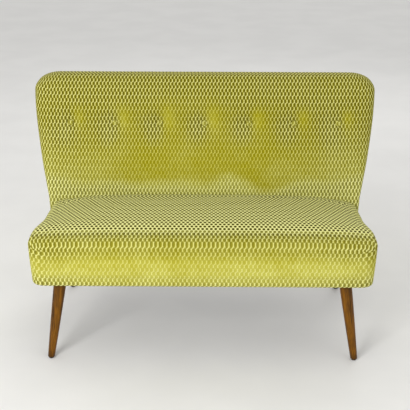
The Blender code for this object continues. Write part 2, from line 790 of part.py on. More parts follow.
def build_screws(sides, posts):
    """A screw through each side rail into its post, with its head let into the rail."""
    head = SCREW_HEAD_DIAMETER / 2
    shank = SCREW_DIAMETER / 2
    profile = [
        (0, SCREW_LENGTH),
        (shank, SCREW_LENGTH),
        (shank, SCREW_HEAD_HEIGHT),
        (head, SCREW_HEAD_HEIGHT),
        (head, 0),
        (0, 0),
    ]
    height = FRAME_BOTTOM + SCREW_EDGE
    depth = post_front(height) + POST_DEPTH / 2
    for name, side in (("left", -1), ("right", 1)):
        x = side * (FRAME_HALF - CLEARANCE)
        start = Vector((x, depth, height))
        inward = Vector((-side, 0, 0))
        bm = bmesh.new()
        add_turned(bm, profile, NUT_FACETS)
        turn = (0, -side * math.pi / 2, 0)
        publish(bm, f"post_screw_{name}", "zinc", start, turn, smooth=True)
        seat = start + inward * (SCREW_HEAD_HEIGHT + CLEARANCE)
        tip = start + inward * (SCREW_LENGTH + CLEARANCE)
        head_hole = (start - inward * OVERRUN, seat, SCREW_HEAD_DIAMETER + 2 * CLEARANCE)
        shank_hole = (start, tip, SCREW_DIAMETER + 2 * CLEARANCE)
        drill(sides[side], "head_hole", [head_hole], NUT_FACETS)
        drill(sides[side], "shank_hole", [shank_hole], NUT_FACETS)
        drill(posts[side], "shank_hole", [shank_hole], NUT_FACETS)


# Springs, hessian, foam and cover of the seat


def spring_middles():
    span = POST_FOOT_INNER - SPRING_EDGE_SPACE
    return [span * (2 * index / (SPRING_COUNT - 1) - 1) for index in range(SPRING_COUNT)]


def build_springs():
    """Sinuous springs from the front rail to the rear rail, each one unbroken wire."""
    first = FRAME_FRONT + SPRING_INSET
    pitch = (FRAME_REAR - SPRING_INSET - first) / (SPRING_BARS - 1)
    lift = CLEARANCE + WIRE_DIAMETER / 2
    for index, middle in enumerate(spring_middles()):
        points = []
        for bar in range(SPRING_BARS):
            depth = first + bar * pitch
            side = 1 if bar % 2 else -1
            points.append((-side * SPRING_HALF_WIDTH, depth))
            points.append((side * SPRING_HALF_WIDTH, depth))
            if bar < SPRING_BARS - 1:
                turn = side * (SPRING_HALF_WIDTH + SPRING_BULGE)
                points.append((turn, depth + pitch / 2))
        name = f"seat_spring_{index + 1}"
        curve = bpy.data.curves.new(name, "CURVE")
        curve.dimensions = "3D"
        curve.bevel_depth = WIRE_DIAMETER / 2
        curve.bevel_resolution = 0
        curve.use_fill_caps = True
        spline = curve.splines.new("POLY")
        spline.points.add(len(points) - 1)
        for point, (x, depth) in zip(spline.points, points):
            point.co = (x, depth, rail_top(depth) + lift, 1)
        place_object(name, curve, "spring_steel", (middle, 0, 0))


def build_seat_padding():
    half = POST_FOOT_INNER - CLEARANCE
    block(
        "seat_hessian",
        "hessian",
        ring(-half, half, FRAME_FRONT, FRAME_REAR, hessian_bottom),
        ring(-half, half, FRAME_FRONT, FRAME_REAR, deck_top),
    )
    inside = (0, SEAT_DEPTH / 2, UNDERSIDE_HEIGHT)
    surface, ends, hems = seat_sheet(ROLL_STEPS + len(SIDE_ROW_SHARES), COVER_THICKNESS)
    solid = filling(surface, ends, hems, inside, COVER_THICKNESS + CLEARANCE)
    foam = publish(solid, "seat_foam", "foam", smooth=True)
    hollow = FRAME_HALF + CLEARANCE
    front = FRAME_FRONT - CLEARANCE
    rear = SEAT_DEPTH + OVERRUN
    low = UNDERSIDE_HEIGHT - OVERRUN
    cutter = block(
        "seat_foam_hollow",
        None,
        ring(-hollow, hollow, front, rear, low),
        ring(-hollow, hollow, front, rear, lambda depth: deck_top(depth) + CLEARANCE),
    )
    cut(foam, cutter)
    surface, _, _ = seat_sheet(ROLL_STEPS + len(SIDE_ROW_SHARES) + BOTTOM_STEPS + 1)
    publish(shell(surface, inside), "seat_cover", "velvet", smooth=True)


# Dust cover


def build_dust_cover():
    half = SEAT_HALF - BOTTOM_ROLL - COVER_LIP - DUST_COVER_MARGIN
    front = BOTTOM_ROLL + COVER_LIP + DUST_COVER_MARGIN
    cloth = block(
        "dust_cover",
        "black_cloth",
        ring(-half, half, front, FRAME_REAR, DUST_COVER_BOTTOM),
        ring(-half, half, front, FRAME_REAR, DUST_COVER_TOP),
    )
    leans = [leg_lean(centre, travel) for _, centre, travel in leg_places()]
    drill(cloth, "bolt_holes", [bolt_hole(lean, 0) for lean in leans], HOLE_FACETS)


# Webbing, hessian, foam, cover and outside of the back


def button_places():
    """Middle of each button along X."""
    return [-BUTTON_SPAN + index * BUTTON_SPACING for index in range(BUTTON_COUNT)]


def strap_levels():
    """Middle height of each level strap: some below the buttons and one above."""
    span = BUTTON_HEIGHT - STRAP_SPACE - LUMBAR_RAIL_TOP
    count = max(round(span / STRAP_PITCH), 1)
    heights = [LUMBAR_RAIL_TOP + (index + 0.5) * span / count for index in range(count)]
    return heights + [(BUTTON_HEIGHT + STRAP_SPACE + TOP_RAIL_BOTTOM) / 2]


def build_back_webbing():
    """Crossing straps on the front of the back frame, as one net with a window round each button."""
    low, high = LUMBAR_RAIL_BOTTOM + WEBBING_TURN, POST_TOP - WEBBING_TURN
    sections = []
    for height in (low, high):
        rear = post_front(height) - WEBBING_LAYER
        half = post_outer(height) - WEBBING_TURN
        sections.append(ring(-half, half, rear - WEBBING_THICKNESS, rear, height))
    net = block("back_webbing", "webbing", *sections)
    straps = strap_levels()
    half_strap = WEBBING_WIDTH / 2
    edges = [(below + half_strap, above - half_strap) for below, above in zip(straps, straps[1:])]
    uprights = [x + BUTTON_SPACING / 2 for x in button_places()[:-1]]
    bm = bmesh.new()
    for foot, head in edges:
        sides = [-post_outer(foot) + WEBBING_TURN + WEBBING_WIDTH]
        for upright in uprights:
            sides += [upright - half_strap, upright + half_strap]
        sides.append(-sides[0])
        for left, right in zip(sides[::2], sides[1::2]):
            front = post_front(foot) - OVERRUN - WEBBING_THICKNESS
            rear = post_front(head) + OVERRUN
            add_block(bm, [ring(left, right, front, rear, foot), ring(left, right, front, rear, head)])
    cut(net, publish(bm, "back_webbing_windows", None))


def build_back_padding():
    sections = []
    for height in (LUMBAR_RAIL_BOTTOM + WEBBING_TURN, POST_TOP - WEBBING_TURN):
        rear = post_front(height) - HESSIAN_LAYER
        half = post_outer(height)
        sections.append(ring(-half, half, rear - HESSIAN_THICKNESS, rear, height))
    hessian = block("back_hessian", "hessian", *sections)

    inside = (0, outside_face(BUTTON_HEIGHT), BUTTON_HEIGHT)
    lowest = UNDERSIDE_HEIGHT + BOTTOM_ROLL + COVER_THICKNESS
    surface, ends, hems = back_sheet(ROLL_STEPS + 1, lowest, COVER_THICKNESS)
    solid = filling(surface, ends, hems, inside, COVER_THICKNESS + CLEARANCE)
    foam = publish(solid, "back_foam", "foam", smooth=True)
    surface, _, _ = back_sheet(ROLL_STEPS + 1 + BOTTOM_STEPS + 1, UNDERSIDE_HEIGHT)
    cover = publish(shell(surface, inside), "back_cover", "velvet", smooth=True)

    reach = FRAME_HALF + CLEARANCE
    low = UNDERSIDE_HEIGHT - OVERRUN
    front = SEAT_DEPTH - OVERRUN
    behind = outside_face(OVERALL_HEIGHT) + OVERRUN
    seat_space = block(
        "back_foam_seat_space",
        None,
        ring(-reach, reach, front, behind, low),
        ring(-reach, reach, front, behind, DECK_REAR),
    )
    cut(foam, seat_space)
    sections = []
    for height in (DECK_REAR - OVERRUN, DECK_REAR, POST_TOP + CLEARANCE):
        half = post_outer(height) + CLEARANCE
        sections.append(ring(-half, half, post_front(height) - FOAM_LAYER, behind, height))
    cut(foam, block("back_foam_hollow", None, *sections))
    cover_space = block(
        "back_cover_seat_space",
        None,
        ring(-reach, reach, front, BACK_FRONT + OVERRUN, low),
        ring(-reach, reach, front, BACK_FRONT + OVERRUN, DECK_REAR),
    )
    cut(cover, cover_space)
    return hessian, foam, cover


def build_outside_panel():
    """The covered board that closes the outside back, inside the cover's lip."""
    inset = REAR_ROLL + REAR_LIP + PANEL_MARGIN
    outline = []
    for level, corner_z in reversed(back_rows(UNDERSIDE_HEIGHT)):
        outline.append((1, 1.0, level, corner_z))
    for corner in reversed(CORNER_SHARES[:-1]):
        outline.append((1, corner, CORNER_START_HEIGHT, 1.0))
    outline.append((1, 0.0, CORNER_START_HEIGHT, 1.0))
    outline += [(-1, *rest) for _, *rest in reversed(outline)]
    bm = bmesh.new()
    corners = []
    for side, corner_x, level, corner_z in outline:
        offset_x, offset_z = corner_offset(
            corner_x, corner_z, TOP_CORNER_WIDTH - inset, TOP_CORNER_HEIGHT - inset
        )
        height = level + offset_z
        x = BACK_HALF - TOP_CORNER_WIDTH + offset_x
        x *= (back_half_width(height) - inset) / (BACK_HALF - inset)
        corners.append(bm.verts.new((side * x, outside_face(height), height)))
    grown = bmesh.ops.extrude_face_region(bm, geom=[bm.faces.new(corners)])["geom"]
    fresh = [item for item in grown if isinstance(item, bmesh.types.BMVert)]
    bmesh.ops.translate(bm, verts=fresh, vec=(0, -PANEL_THICKNESS, 0))
    publish(bm, "outside_back_panel", "velvet")


# Buttons


def tie_profile(length):
    """Outline of a twine of this length and of the round toggle that it holds behind the hessian."""
    twine = TWINE_DIAMETER / 2
    toggle = TOGGLE_DIAMETER / 2
    end = length + TOGGLE_THICKNESS
    return [(0, end), (toggle, end), (toggle, length), (twine, length), (twine, 0), (0, 0)]


def build_buttons(pierced):
    radius = BUTTON_DIAMETER / 2
    dome = BUTTON_THICKNESS - BUTTON_EDGE
    profile = [(0, 0), (radius - BUTTON_EDGE, 0), (radius, BUTTON_EDGE)]
    for angle in (30, 60):
        turn = math.radians(angle)
        profile.append((radius * math.cos(turn), BUTTON_EDGE + dome * math.sin(turn)))
    profile.append((0, BUTTON_THICKNESS))
    lift = CLEARANCE + TUFT_DEPTH * radius / (BUTTON_SPACING / 2)
    tilt = math.pi / 2 - math.radians(RECLINE_DEGREES)
    holes = []
    toggle = post_front(BUTTON_HEIGHT) - HESSIAN_LAYER + TOGGLE_DIAMETER / 2 * OUTSIDE_SLOPE
    toggle += CLEARANCE * math.hypot(1, OUTSIDE_SLOPE)
    for index, x in enumerate(button_places()):
        depth = back_face(x, BUTTON_HEIGHT) - lift
        bm = bmesh.new()
        add_turned(bm, profile, SMALL_FACETS)
        name = f"back_button_{index + 1}"
        publish(bm, name, "velvet", (x, depth, BUTTON_HEIGHT), (tilt, 0, 0), smooth=True)
        start = depth + CLEARANCE + TWINE_DIAMETER * RECLINE
        bm = bmesh.new()
        add_turned(bm, tie_profile(toggle - start), SMALL_FACETS)
        place = (x, start, BUTTON_HEIGHT)
        publish(bm, f"button_tie_{index + 1}", "twine", place, (-math.pi / 2, 0, 0), smooth=True)
        start_of_hole = (x, depth - OVERRUN, BUTTON_HEIGHT)
        holes.append((start_of_hole, (x, toggle, BUTTON_HEIGHT), TWINE_HOLE_DIAMETER))
    for piece in pierced:
        drill(piece, "twine_holes", holes, TWINE_FACETS)


# Legs


def build_legs():
    """Tapered legs that lean outwards, each bored for its bolt, on a metal glide."""
    foot = GLIDE_HEIGHT + CLEARANCE - LEG_TOP
    foot_radius, top_radius = LEG_FOOT_DIAMETER / 2, LEG_TOP_DIAMETER / 2
    bore = BOLT_DIAMETER / 2 + CLEARANCE
    profile = [
        (0, -BOLT_IN_LEG - CLEARANCE),
        (bore, -BOLT_IN_LEG - CLEARANCE),
        (bore, 0),
        (top_radius - LEG_CHAMFER, 0),
        (top_radius, -LEG_CHAMFER),
        (foot_radius, foot + LEG_CHAMFER),
        (foot_radius - LEG_CHAMFER, foot),
        (0, foot),
    ]
    glide_radius = GLIDE_DIAMETER / 2
    glide_profile = [
        (0, GLIDE_HEIGHT),
        (glide_radius, GLIDE_HEIGHT),
        (glide_radius, GLIDE_ROUNDING),
        (glide_radius - GLIDE_ROUNDING, 0),
        (0, 0),
    ]
    block_top = FRAME_BOTTOM + BLOCK_HEIGHT - LEG_TOP
    bolt_radius = BOLT_DIAMETER / 2
    bolt_top = block_top + BOLT_ABOVE_BLOCK
    bolt_profile = [
        (0, bolt_top),
        (bolt_radius, bolt_top),
        (bolt_radius, -BOLT_IN_LEG),
        (0, -BOLT_IN_LEG),
    ]
    flange = block_top + CLEARANCE
    barrel = NUT_BARREL_DIAMETER / 2
    nut_profile = [
        (bolt_radius + CLEARANCE, block_top - NUT_BARREL_LENGTH),
        (barrel, block_top - NUT_BARREL_LENGTH),
        (barrel, flange),
        (NUT_FLANGE_DIAMETER / 2, flange),
        (NUT_FLANGE_DIAMETER / 2, flange + NUT_FLANGE_THICKNESS),
        (bolt_radius + CLEARANCE, flange + NUT_FLANGE_THICKNESS),
    ]
    for name, centre, travel in leg_places():
        lean = leg_lean(centre, travel)
        own_lean = Matrix.Translation((-centre[0], -centre[1], -LEG_TOP)) @ lean
        bm = bmesh.new()
        add_turned(bm, profile, LEG_FACETS, own_lean)
        publish(bm, f"leg_{name}", "lacquered_wood", (*centre, LEG_TOP), smooth=True)
        ground = (centre[0] - travel[0], centre[1] - travel[1], 0)
        bm = bmesh.new()
        add_turned(bm, glide_profile, SMALL_FACETS)
        publish(bm, f"leg_glide_{name}", "dark_nickel", ground, smooth=True)
        for part, outline in (("hanger_bolt", bolt_profile), ("tee_nut", nut_profile)):
            bm = bmesh.new()
            add_turned(bm, outline, NUT_FACETS, own_lean)
            publish(bm, f"{part}_{name}", "zinc", (*centre, LEG_TOP), smooth=True)


def centre_on_origin(root):
    """Moves the settee so that its footprint is centred on the world's origin."""
    bpy.context.view_layer.update()
    graph = bpy.context.evaluated_depsgraph_get()
    depths = []
    for obj in bpy.data.objects:
        if obj.type in ("MESH", "CURVE") and not obj.hide_render:
            shape = obj.evaluated_get(graph)
            mesh = shape.to_mesh()
            depths += [(obj.matrix_world @ vertex.co).y for vertex in mesh.vertices]
            shape.to_mesh_clear()
    root.location.y = -(min(depths) + max(depths)) / 2


def main():
    clear_scene()
    root = bpy.data.objects.new("seat_front", None)
    bpy.context.scene.collection.objects.link(root)
    sides = build_seat_frame()
    posts = build_back_frame()
    build_corner_blocks()
    build_screws(sides, posts)
    build_springs()
    build_seat_padding()
    build_dust_cover()
    build_back_webbing()
    pierced = build_back_padding()
    build_outside_panel()
    build_buttons(pierced)
    build_legs()
    centre_on_origin(root)


main()
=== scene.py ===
"""Armless two-seater settee dressed in cut velvet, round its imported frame.

Lengths are metres. Seen from the front, +X runs to the right, +Y to the rear and +Z up. Depths of the
upholstery are counted from the seat's front face, as its sizes are.
"""

import json
import logging
import math
from dataclasses import dataclass, field
from enum import Enum
from typing import Any, Callable, Iterable, Optional, Sequence

import bmesh
import bpy
from mathutils import Matrix, Vector, noise


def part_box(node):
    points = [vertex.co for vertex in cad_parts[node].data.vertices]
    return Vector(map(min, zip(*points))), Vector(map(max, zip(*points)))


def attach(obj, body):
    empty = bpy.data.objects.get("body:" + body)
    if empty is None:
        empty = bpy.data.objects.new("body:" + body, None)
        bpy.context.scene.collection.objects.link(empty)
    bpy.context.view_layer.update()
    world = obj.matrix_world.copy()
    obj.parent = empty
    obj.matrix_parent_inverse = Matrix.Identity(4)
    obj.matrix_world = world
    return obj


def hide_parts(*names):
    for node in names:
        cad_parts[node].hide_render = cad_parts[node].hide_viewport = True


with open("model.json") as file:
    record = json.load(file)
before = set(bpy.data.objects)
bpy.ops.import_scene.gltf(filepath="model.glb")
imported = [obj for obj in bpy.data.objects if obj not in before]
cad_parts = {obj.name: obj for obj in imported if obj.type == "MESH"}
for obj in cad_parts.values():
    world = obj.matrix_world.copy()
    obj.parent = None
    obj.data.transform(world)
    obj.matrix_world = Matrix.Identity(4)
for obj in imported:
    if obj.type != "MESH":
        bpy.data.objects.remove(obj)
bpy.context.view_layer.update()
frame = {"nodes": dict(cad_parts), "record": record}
FRONT_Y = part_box("seat_cover")[0].y
QUARTER = math.pi / 2
WELD = 0.00002
log = logging.getLogger("settee")

Feed = Any
Sockets = dict[str, bpy.types.NodeSocket]
Tone = tuple[float, ...]
Index = tuple[int, int, int]
Column = tuple[float, float, int]
Row = tuple[float, float]


class Slot(Enum):
    """Finishes of the record, by the name of their slot."""

    VELVET = "velvet"
    FOAM = "foam"
    BEECH = "beech"
    LACQUER = "lacquered_wood"
    HESSIAN = "hessian"
    WEBBING = "webbing"
    LINING = "black_cloth"
    TWINE = "twine"
    SPRING = "spring_steel"
    ZINC = "zinc"
    NICKEL = "dark_nickel"


# Small helpers


def tone(red: float, green: float, blue: float) -> Tone:
    """Linear colour of a tone as a screen shows it.

    Args:
        red: Red from 0 to 255.
        green: Green from 0 to 255.
        blue: Blue from 0 to 255.

    Returns:
        The colour as a shader takes it.
    """
    shares = [value / 255 for value in (red, green, blue)]
    linear = [s / 12.92 if s <= 0.04045 else ((s + 0.055) / 1.055) ** 2.4 for s in shares]
    return (*linear, 1.0)


def dimmed(colour: Tone, share: float) -> Tone:
    """Returns a colour at a share of its strength."""
    return (*(share * value for value in colour[:3]), 1.0)


def eased(share: float) -> float:
    """Returns a share held between 0 and 1 and eased at both ends."""
    share = min(max(share, 0.0), 1.0)
    return share * share * (3 - 2 * share)


def blend(start: float, end: float, share: float) -> float:
    """Returns the value between two others at a share of the way."""
    return start + (end - start) * share


def spaced(start: float, end: float, step: float) -> list[float]:
    """Evenly spaced values.

    Args:
        start: First value.
        end: Last value.
        step: Largest spacing.

    Returns:
        The values, both ends among them.
    """
    count = max(math.ceil(abs(end - start) / step), 1)
    return [blend(start, end, index / count) for index in range(count + 1)]


@dataclass(frozen=True)
class Band:
    """A stretch over which something eases in."""

    start: float
    reach: float

    def at(self, value: float) -> float:
        """Returns how far a value has come into the stretch, eased, from 0 to 1."""
        return eased((value - self.start) / self.reach)


# Node trees


class Graph:
    """Adds nodes to a tree, with each input given as a value or as another node's output."""

    def __init__(self, tree: bpy.types.NodeTree) -> None:
        """Takes the tree that gets the nodes."""
        self.tree = tree

    def feed(self, node: bpy.types.Node, feeds: dict[Any, Feed]) -> None:
        """Sets or links inputs of a node.

        Args:
            node: The node.
            feeds: A plain value or an output to link for each input, by its name or place.
        """
        for key, value in feeds.items():
            socket = node.inputs[key]
            if isinstance(value, bpy.types.NodeSocket):
                self.tree.links.new(value, socket)
            elif isinstance(socket.default_value, float):
                socket.default_value = value
            else:
                socket.default_value = value[: len(socket.default_value)]

    def add(self, kind: str, feeds: Optional[dict[Any, Feed]] = None, **settings: Any) -> bpy.types.Node:
        """Adds one node.

        Args:
            kind: The node's type.
            feeds: Its inputs, as for feed.
            **settings: The node's own options.

        Returns:
            The node.
        """
        node = self.tree.nodes.new(kind)
        for name, value in settings.items():
            setattr(node, name, value)
        self.feed(node, feeds or {})
        return node

    def math(self, operation: str, *feeds: Feed) -> bpy.types.NodeSocket:
        """Returns the output of a Math node."""
        return self.add("ShaderNodeMath", dict(enumerate(feeds)), operation=operation).outputs[0]

    def times(self, first: Feed, second: Feed) -> bpy.types.NodeSocket:
        """Returns one value multiplied by another."""
        return self.math("MULTIPLY", first, second)

    def less(self, first: Feed, second: Feed) -> bpy.types.NodeSocket:
        """Returns one value less another."""
        return self.math("SUBTRACT", first, second)

    def ramp(
        self, value: Feed, low: float, high: float, out_low: float = 0, out_high: float = 1
    ) -> bpy.types.NodeSocket:
        """Smooth step of a value.

        Args:
            value: What is read.
            low: Where the step starts.
            high: Where the step ends.
            out_low: Value before the step.
            out_high: Value after the step.

        Returns:
            The stepped value.
        """
        feeds = {"Value": value, "From Min": low, "From Max": high, "To Min": out_low, "To Max": out_high}
        return self.add("ShaderNodeMapRange", feeds, interpolation_type="SMOOTHSTEP").outputs["Result"]

    def mix(self, share: Feed, first: Feed, second: Feed, mode: str = "MIX") -> bpy.types.NodeSocket:
        """Returns two colours mixed by a share."""
        feeds = {0: share, 6: first, 7: second}
        return self.add("ShaderNodeMix", feeds, data_type="RGBA", blend_type=mode).outputs[2]

    def noise(self, where: Feed, scale: float, detail: float = 2, rough: float = 0.5) -> bpy.types.NodeSocket:
        """Returns a noise value from 0 to 1."""
        feeds = {"Vector": where, "Scale": scale, "Detail": detail, "Roughness": rough}
        return self.add("ShaderNodeTexNoise", feeds).outputs["Fac"]

    def scaled(self, where: Feed, scale: Sequence[float], turn: Sequence[float] = (0, 0, 0)) -> Feed:
        """Returns coordinates scaled and turned by a Mapping node."""
        return self.add("ShaderNodeMapping", {"Vector": where, "Scale": scale, "Rotation": turn}).outputs[0]

    def stretched(self, where: Feed, share: float) -> Feed:
        """Returns coordinates that count along Z at a share only, which draws a pattern out that way."""
        return self.scaled(where, (1.0, 1.0, share))

    def parts(self, where: Feed) -> tuple[bpy.types.NodeSocket, ...]:
        """Returns the three parts of a vector."""
        return tuple(self.add("ShaderNodeSeparateXYZ", {0: where}).outputs)

    def joined(self, *feeds: Feed) -> bpy.types.NodeSocket:
        """Returns a vector made of up to three values."""
        return self.add("ShaderNodeCombineXYZ", dict(enumerate(feeds))).outputs[0]

    def object_place(self) -> bpy.types.NodeSocket:
        """Returns the Object coordinates."""
        return self.add("ShaderNodeTexCoord").outputs["Object"]

    def attribute(self, name: str, output: str = "Fac") -> bpy.types.NodeSocket:
        """Returns an attribute of the mesh."""
        return self.add("ShaderNodeAttribute", attribute_name=name).outputs[output]

    def group(self, tree: bpy.types.NodeTree, feeds: dict[str, Feed]) -> Any:
        """Returns the outputs of a node group fed with values."""
        return self.add("ShaderNodeGroup", feeds, node_tree=tree).outputs


def node_group(
    name: str, inputs: dict[str, Any], outputs: Sequence[str], wire: Callable[[Graph, Sockets], Sockets]
) -> bpy.types.NodeTree:
    """Builds a shader node group once.

    Args:
        name: The group's name.
        inputs: Default of each input, a number or a vector.
        outputs: Names of the outputs, which are all numbers.
        wire: Makes the nodes from the inputs and gives what feeds each output.

    Returns:
        The group.
    """
    made = bpy.data.node_groups.get(name)
    if made:
        return made
    tree = bpy.data.node_groups.new(name, "ShaderNodeTree")
    for label, default in inputs.items():
        kind = "NodeSocketVector" if isinstance(default, tuple) else "NodeSocketFloat"
        tree.interface.new_socket(label, in_out="INPUT", socket_type=kind).default_value = default
    for label in outputs:
        tree.interface.new_socket(label, in_out="OUTPUT", socket_type="NodeSocketFloat")
    entry = tree.nodes.new("NodeGroupInput")
    leave = tree.nodes.new("NodeGroupOutput")
    results = wire(Graph(tree), {socket.name: socket for socket in entry.outputs if socket.name})
    for label, socket in results.items():
        tree.links.new(socket, leave.inputs[label])
    return tree


PERIOD = 0.0146
ROW = 0.0143
PAD_WIDTH = 0.39
CLOTH_DRIFT = (0.0022, 0.0018, 0.0)


def pile_group() -> bpy.types.NodeTree:
    """Returns the group of the velvet's oval pads.

    The pads step by half a period from row to row. Each outline is broken at one end, the other one in every
    second row, and the next outline goes on there, so that the outlines read as hooked strokes.
    """

    def wire(g: Graph, given: Sockets) -> Sockets:
        """Wires the pads, their outlines, the strokes that are kept of these, the masks of painted shade in
        the hollows and the fibres.
        """
        cloth = given["Cloth"]
        drift = g.add("ShaderNodeTexNoise", {"Vector": cloth, "Scale": 22.0, "Detail": 1.0}).outputs["Color"]
        shift = g.add("ShaderNodeVectorMath", {0: drift, 1: (0.5, 0.5, 0.5)}, operation="SUBTRACT").outputs[0]
        feeds = {0: shift, 1: CLOTH_DRIFT, 2: cloth}
        moved = g.add("ShaderNodeVectorMath", feeds, operation="MULTIPLY_ADD")
        across, along, _ = g.parts(moved.outputs[0])
        row = g.math("DIVIDE", along, given["Row"])
        row_number = g.math("FLOOR", row)
        odd = g.math("FLOORED_MODULO", row_number, 2.0)
        place = g.math("MULTIPLY_ADD", odd, 0.5, g.math("DIVIDE", across, given["Period"]))
        p = g.less(g.math("FRACT", place), 0.5)
        q = g.less(g.math("FRACT", row), 0.5)
        lean = g.math("MULTIPLY_ADD", odd, -2.0, 1.0)
        side = g.math("DIVIDE", p, given["Pad"])
        end = g.math("POWER", g.math("ABSOLUTE", g.math("DIVIDE", q, 0.5)), 2.8)
        reach = g.math("SQRT", g.math("ADD", g.times(side, side), end))
        leaning = g.times(side, lean)
        joined_end = g.times(q, g.times(lean, -1.0))
        joint = g.times(g.ramp(leaning, -0.1, 0.4), g.ramp(joined_end, 0.0, 0.2))
        branch = g.ramp(g.math("ABSOLUTE", q), 0.26, 0.48, 0.0, 0.9)
        kept = g.less(1.0, g.times(branch, g.less(1.0, joint)))
        line = g.ramp(reach, 0.80, 1.10)
        stroke = g.times(line, kept)
        cell = g.joined(g.math("FLOOR", place), row_number, 0.0)
        fibres = g.noise(g.scaled(cloth, (1.0, 0.45, 1.0)), 1500.0, 2.0, 0.6)
        return {
            "Line": line,
            "Stroke": stroke,
            # Dark is painted shade on one side of each hollow, flipping side from row to row; Core is painted
            # shade over a whole hollow.
            "Dark": g.times(g.ramp(leaning, -0.4, 1.0, 1.0, 0.45), g.ramp(stroke, 0.05, 0.7, 1.0, 0.0)),
            "Core": g.ramp(reach, 0.48, 1.0, 1.0, 0.0),
            "Height": g.math("MULTIPLY_ADD", fibres, 0.12, g.times(stroke, 0.8)),
            "Own": g.add("ShaderNodeTexWhiteNoise", {"Vector": cell}, noise_dimensions="2D").outputs["Value"],
            "Fibres": fibres,
        }

    inputs = {"Cloth": (0, 0, 0), "Period": PERIOD, "Row": ROW, "Pad": PAD_WIDTH}
    masks = ("Line", "Stroke", "Dark", "Core", "Height", "Own", "Fibres")
    return node_group("velvet pile", inputs, masks, wire)


def grain_group() -> bpy.types.NodeTree:
    """Returns the group of wood grain that runs along Z."""

    def wire(g: Graph, given: Sockets) -> Sockets:
        """Wires broad bands, fine lines and short pores."""
        place = given["Place"]
        return {
            "Bands": g.noise(g.stretched(place, 0.12), 42.0, 3.0, 0.55),
            "Lines": g.noise(g.stretched(place, 0.035), 420.0, 2.0, 0.6),
            "Pores": g.ramp(g.noise(g.stretched(place, 0.05), 900.0, 1.0, 0.5), 0.60, 0.74),
        }

    return node_group("wood grain", {"Place": (0, 0, 0)}, ("Bands", "Lines", "Pores"), wire)


def weave_group() -> bpy.types.NodeTree:
    """Returns the group of a plain weave, over and under."""

    def wire(g: Graph, given: Sockets) -> Sockets:
        """Wires warp and weft threads with uneven thickness."""
        wander = g.noise(given["Place"], 60.0, 1.0)
        across, along, _ = g.parts(given["Place"])
        turn = g.math("DIVIDE", math.pi, given["Thread"])
        warp = g.math("SINE", g.times(across, turn))
        weft = g.math("SINE", g.times(along, turn))
        threads = g.math("MAXIMUM", g.math("ABSOLUTE", warp), g.math("ABSOLUTE", weft))
        height = g.math("ADD", g.times(g.times(warp, weft), 0.35), g.times(threads, 0.5))
        height = g.math("ADD", height, g.times(wander, 0.3))
        return {"Height": height, "Thick": wander, "Open": g.ramp(threads, 0.25, 0.55, 1.0, 0.0)}

    return node_group("plain weave", {"Place": (0, 0, 0), "Thread": 0.002}, ("Height", "Thick", "Open"), wire)


# Finishes


class Finish:
    """What every finish shares: a material whose shader takes the feeds that the finish gives."""

    def feeds(self, g: Graph) -> dict[str, Feed]:
        """Returns what goes into the shader, by input."""
        raise NotImplementedError

    def material(self, name: str) -> bpy.types.Material:
        """Makes the material.

        Args:
            name: The material's name.

        Returns:
            The material.
        """
        material = bpy.data.materials.new(name)
        material.use_nodes = True
        graph = Graph(material.node_tree)
        graph.feed(material.node_tree.nodes["Principled BSDF"], self.feeds(graph))
        return material

    def relief(self, graph: Graph, height: Feed, distance: float) -> bpy.types.NodeSocket:
        """Normal of a bumpy surface.

        Args:
            graph: The material's graph.
            height: Height from 0 to 1.
            distance: What a height of 1 stands for.

        Returns:
            The normal, for the shader.
        """
        feeds = {"Height": height, "Distance": distance, "Strength": 1.0}
        return graph.add("ShaderNodeBump", feeds).outputs[0]


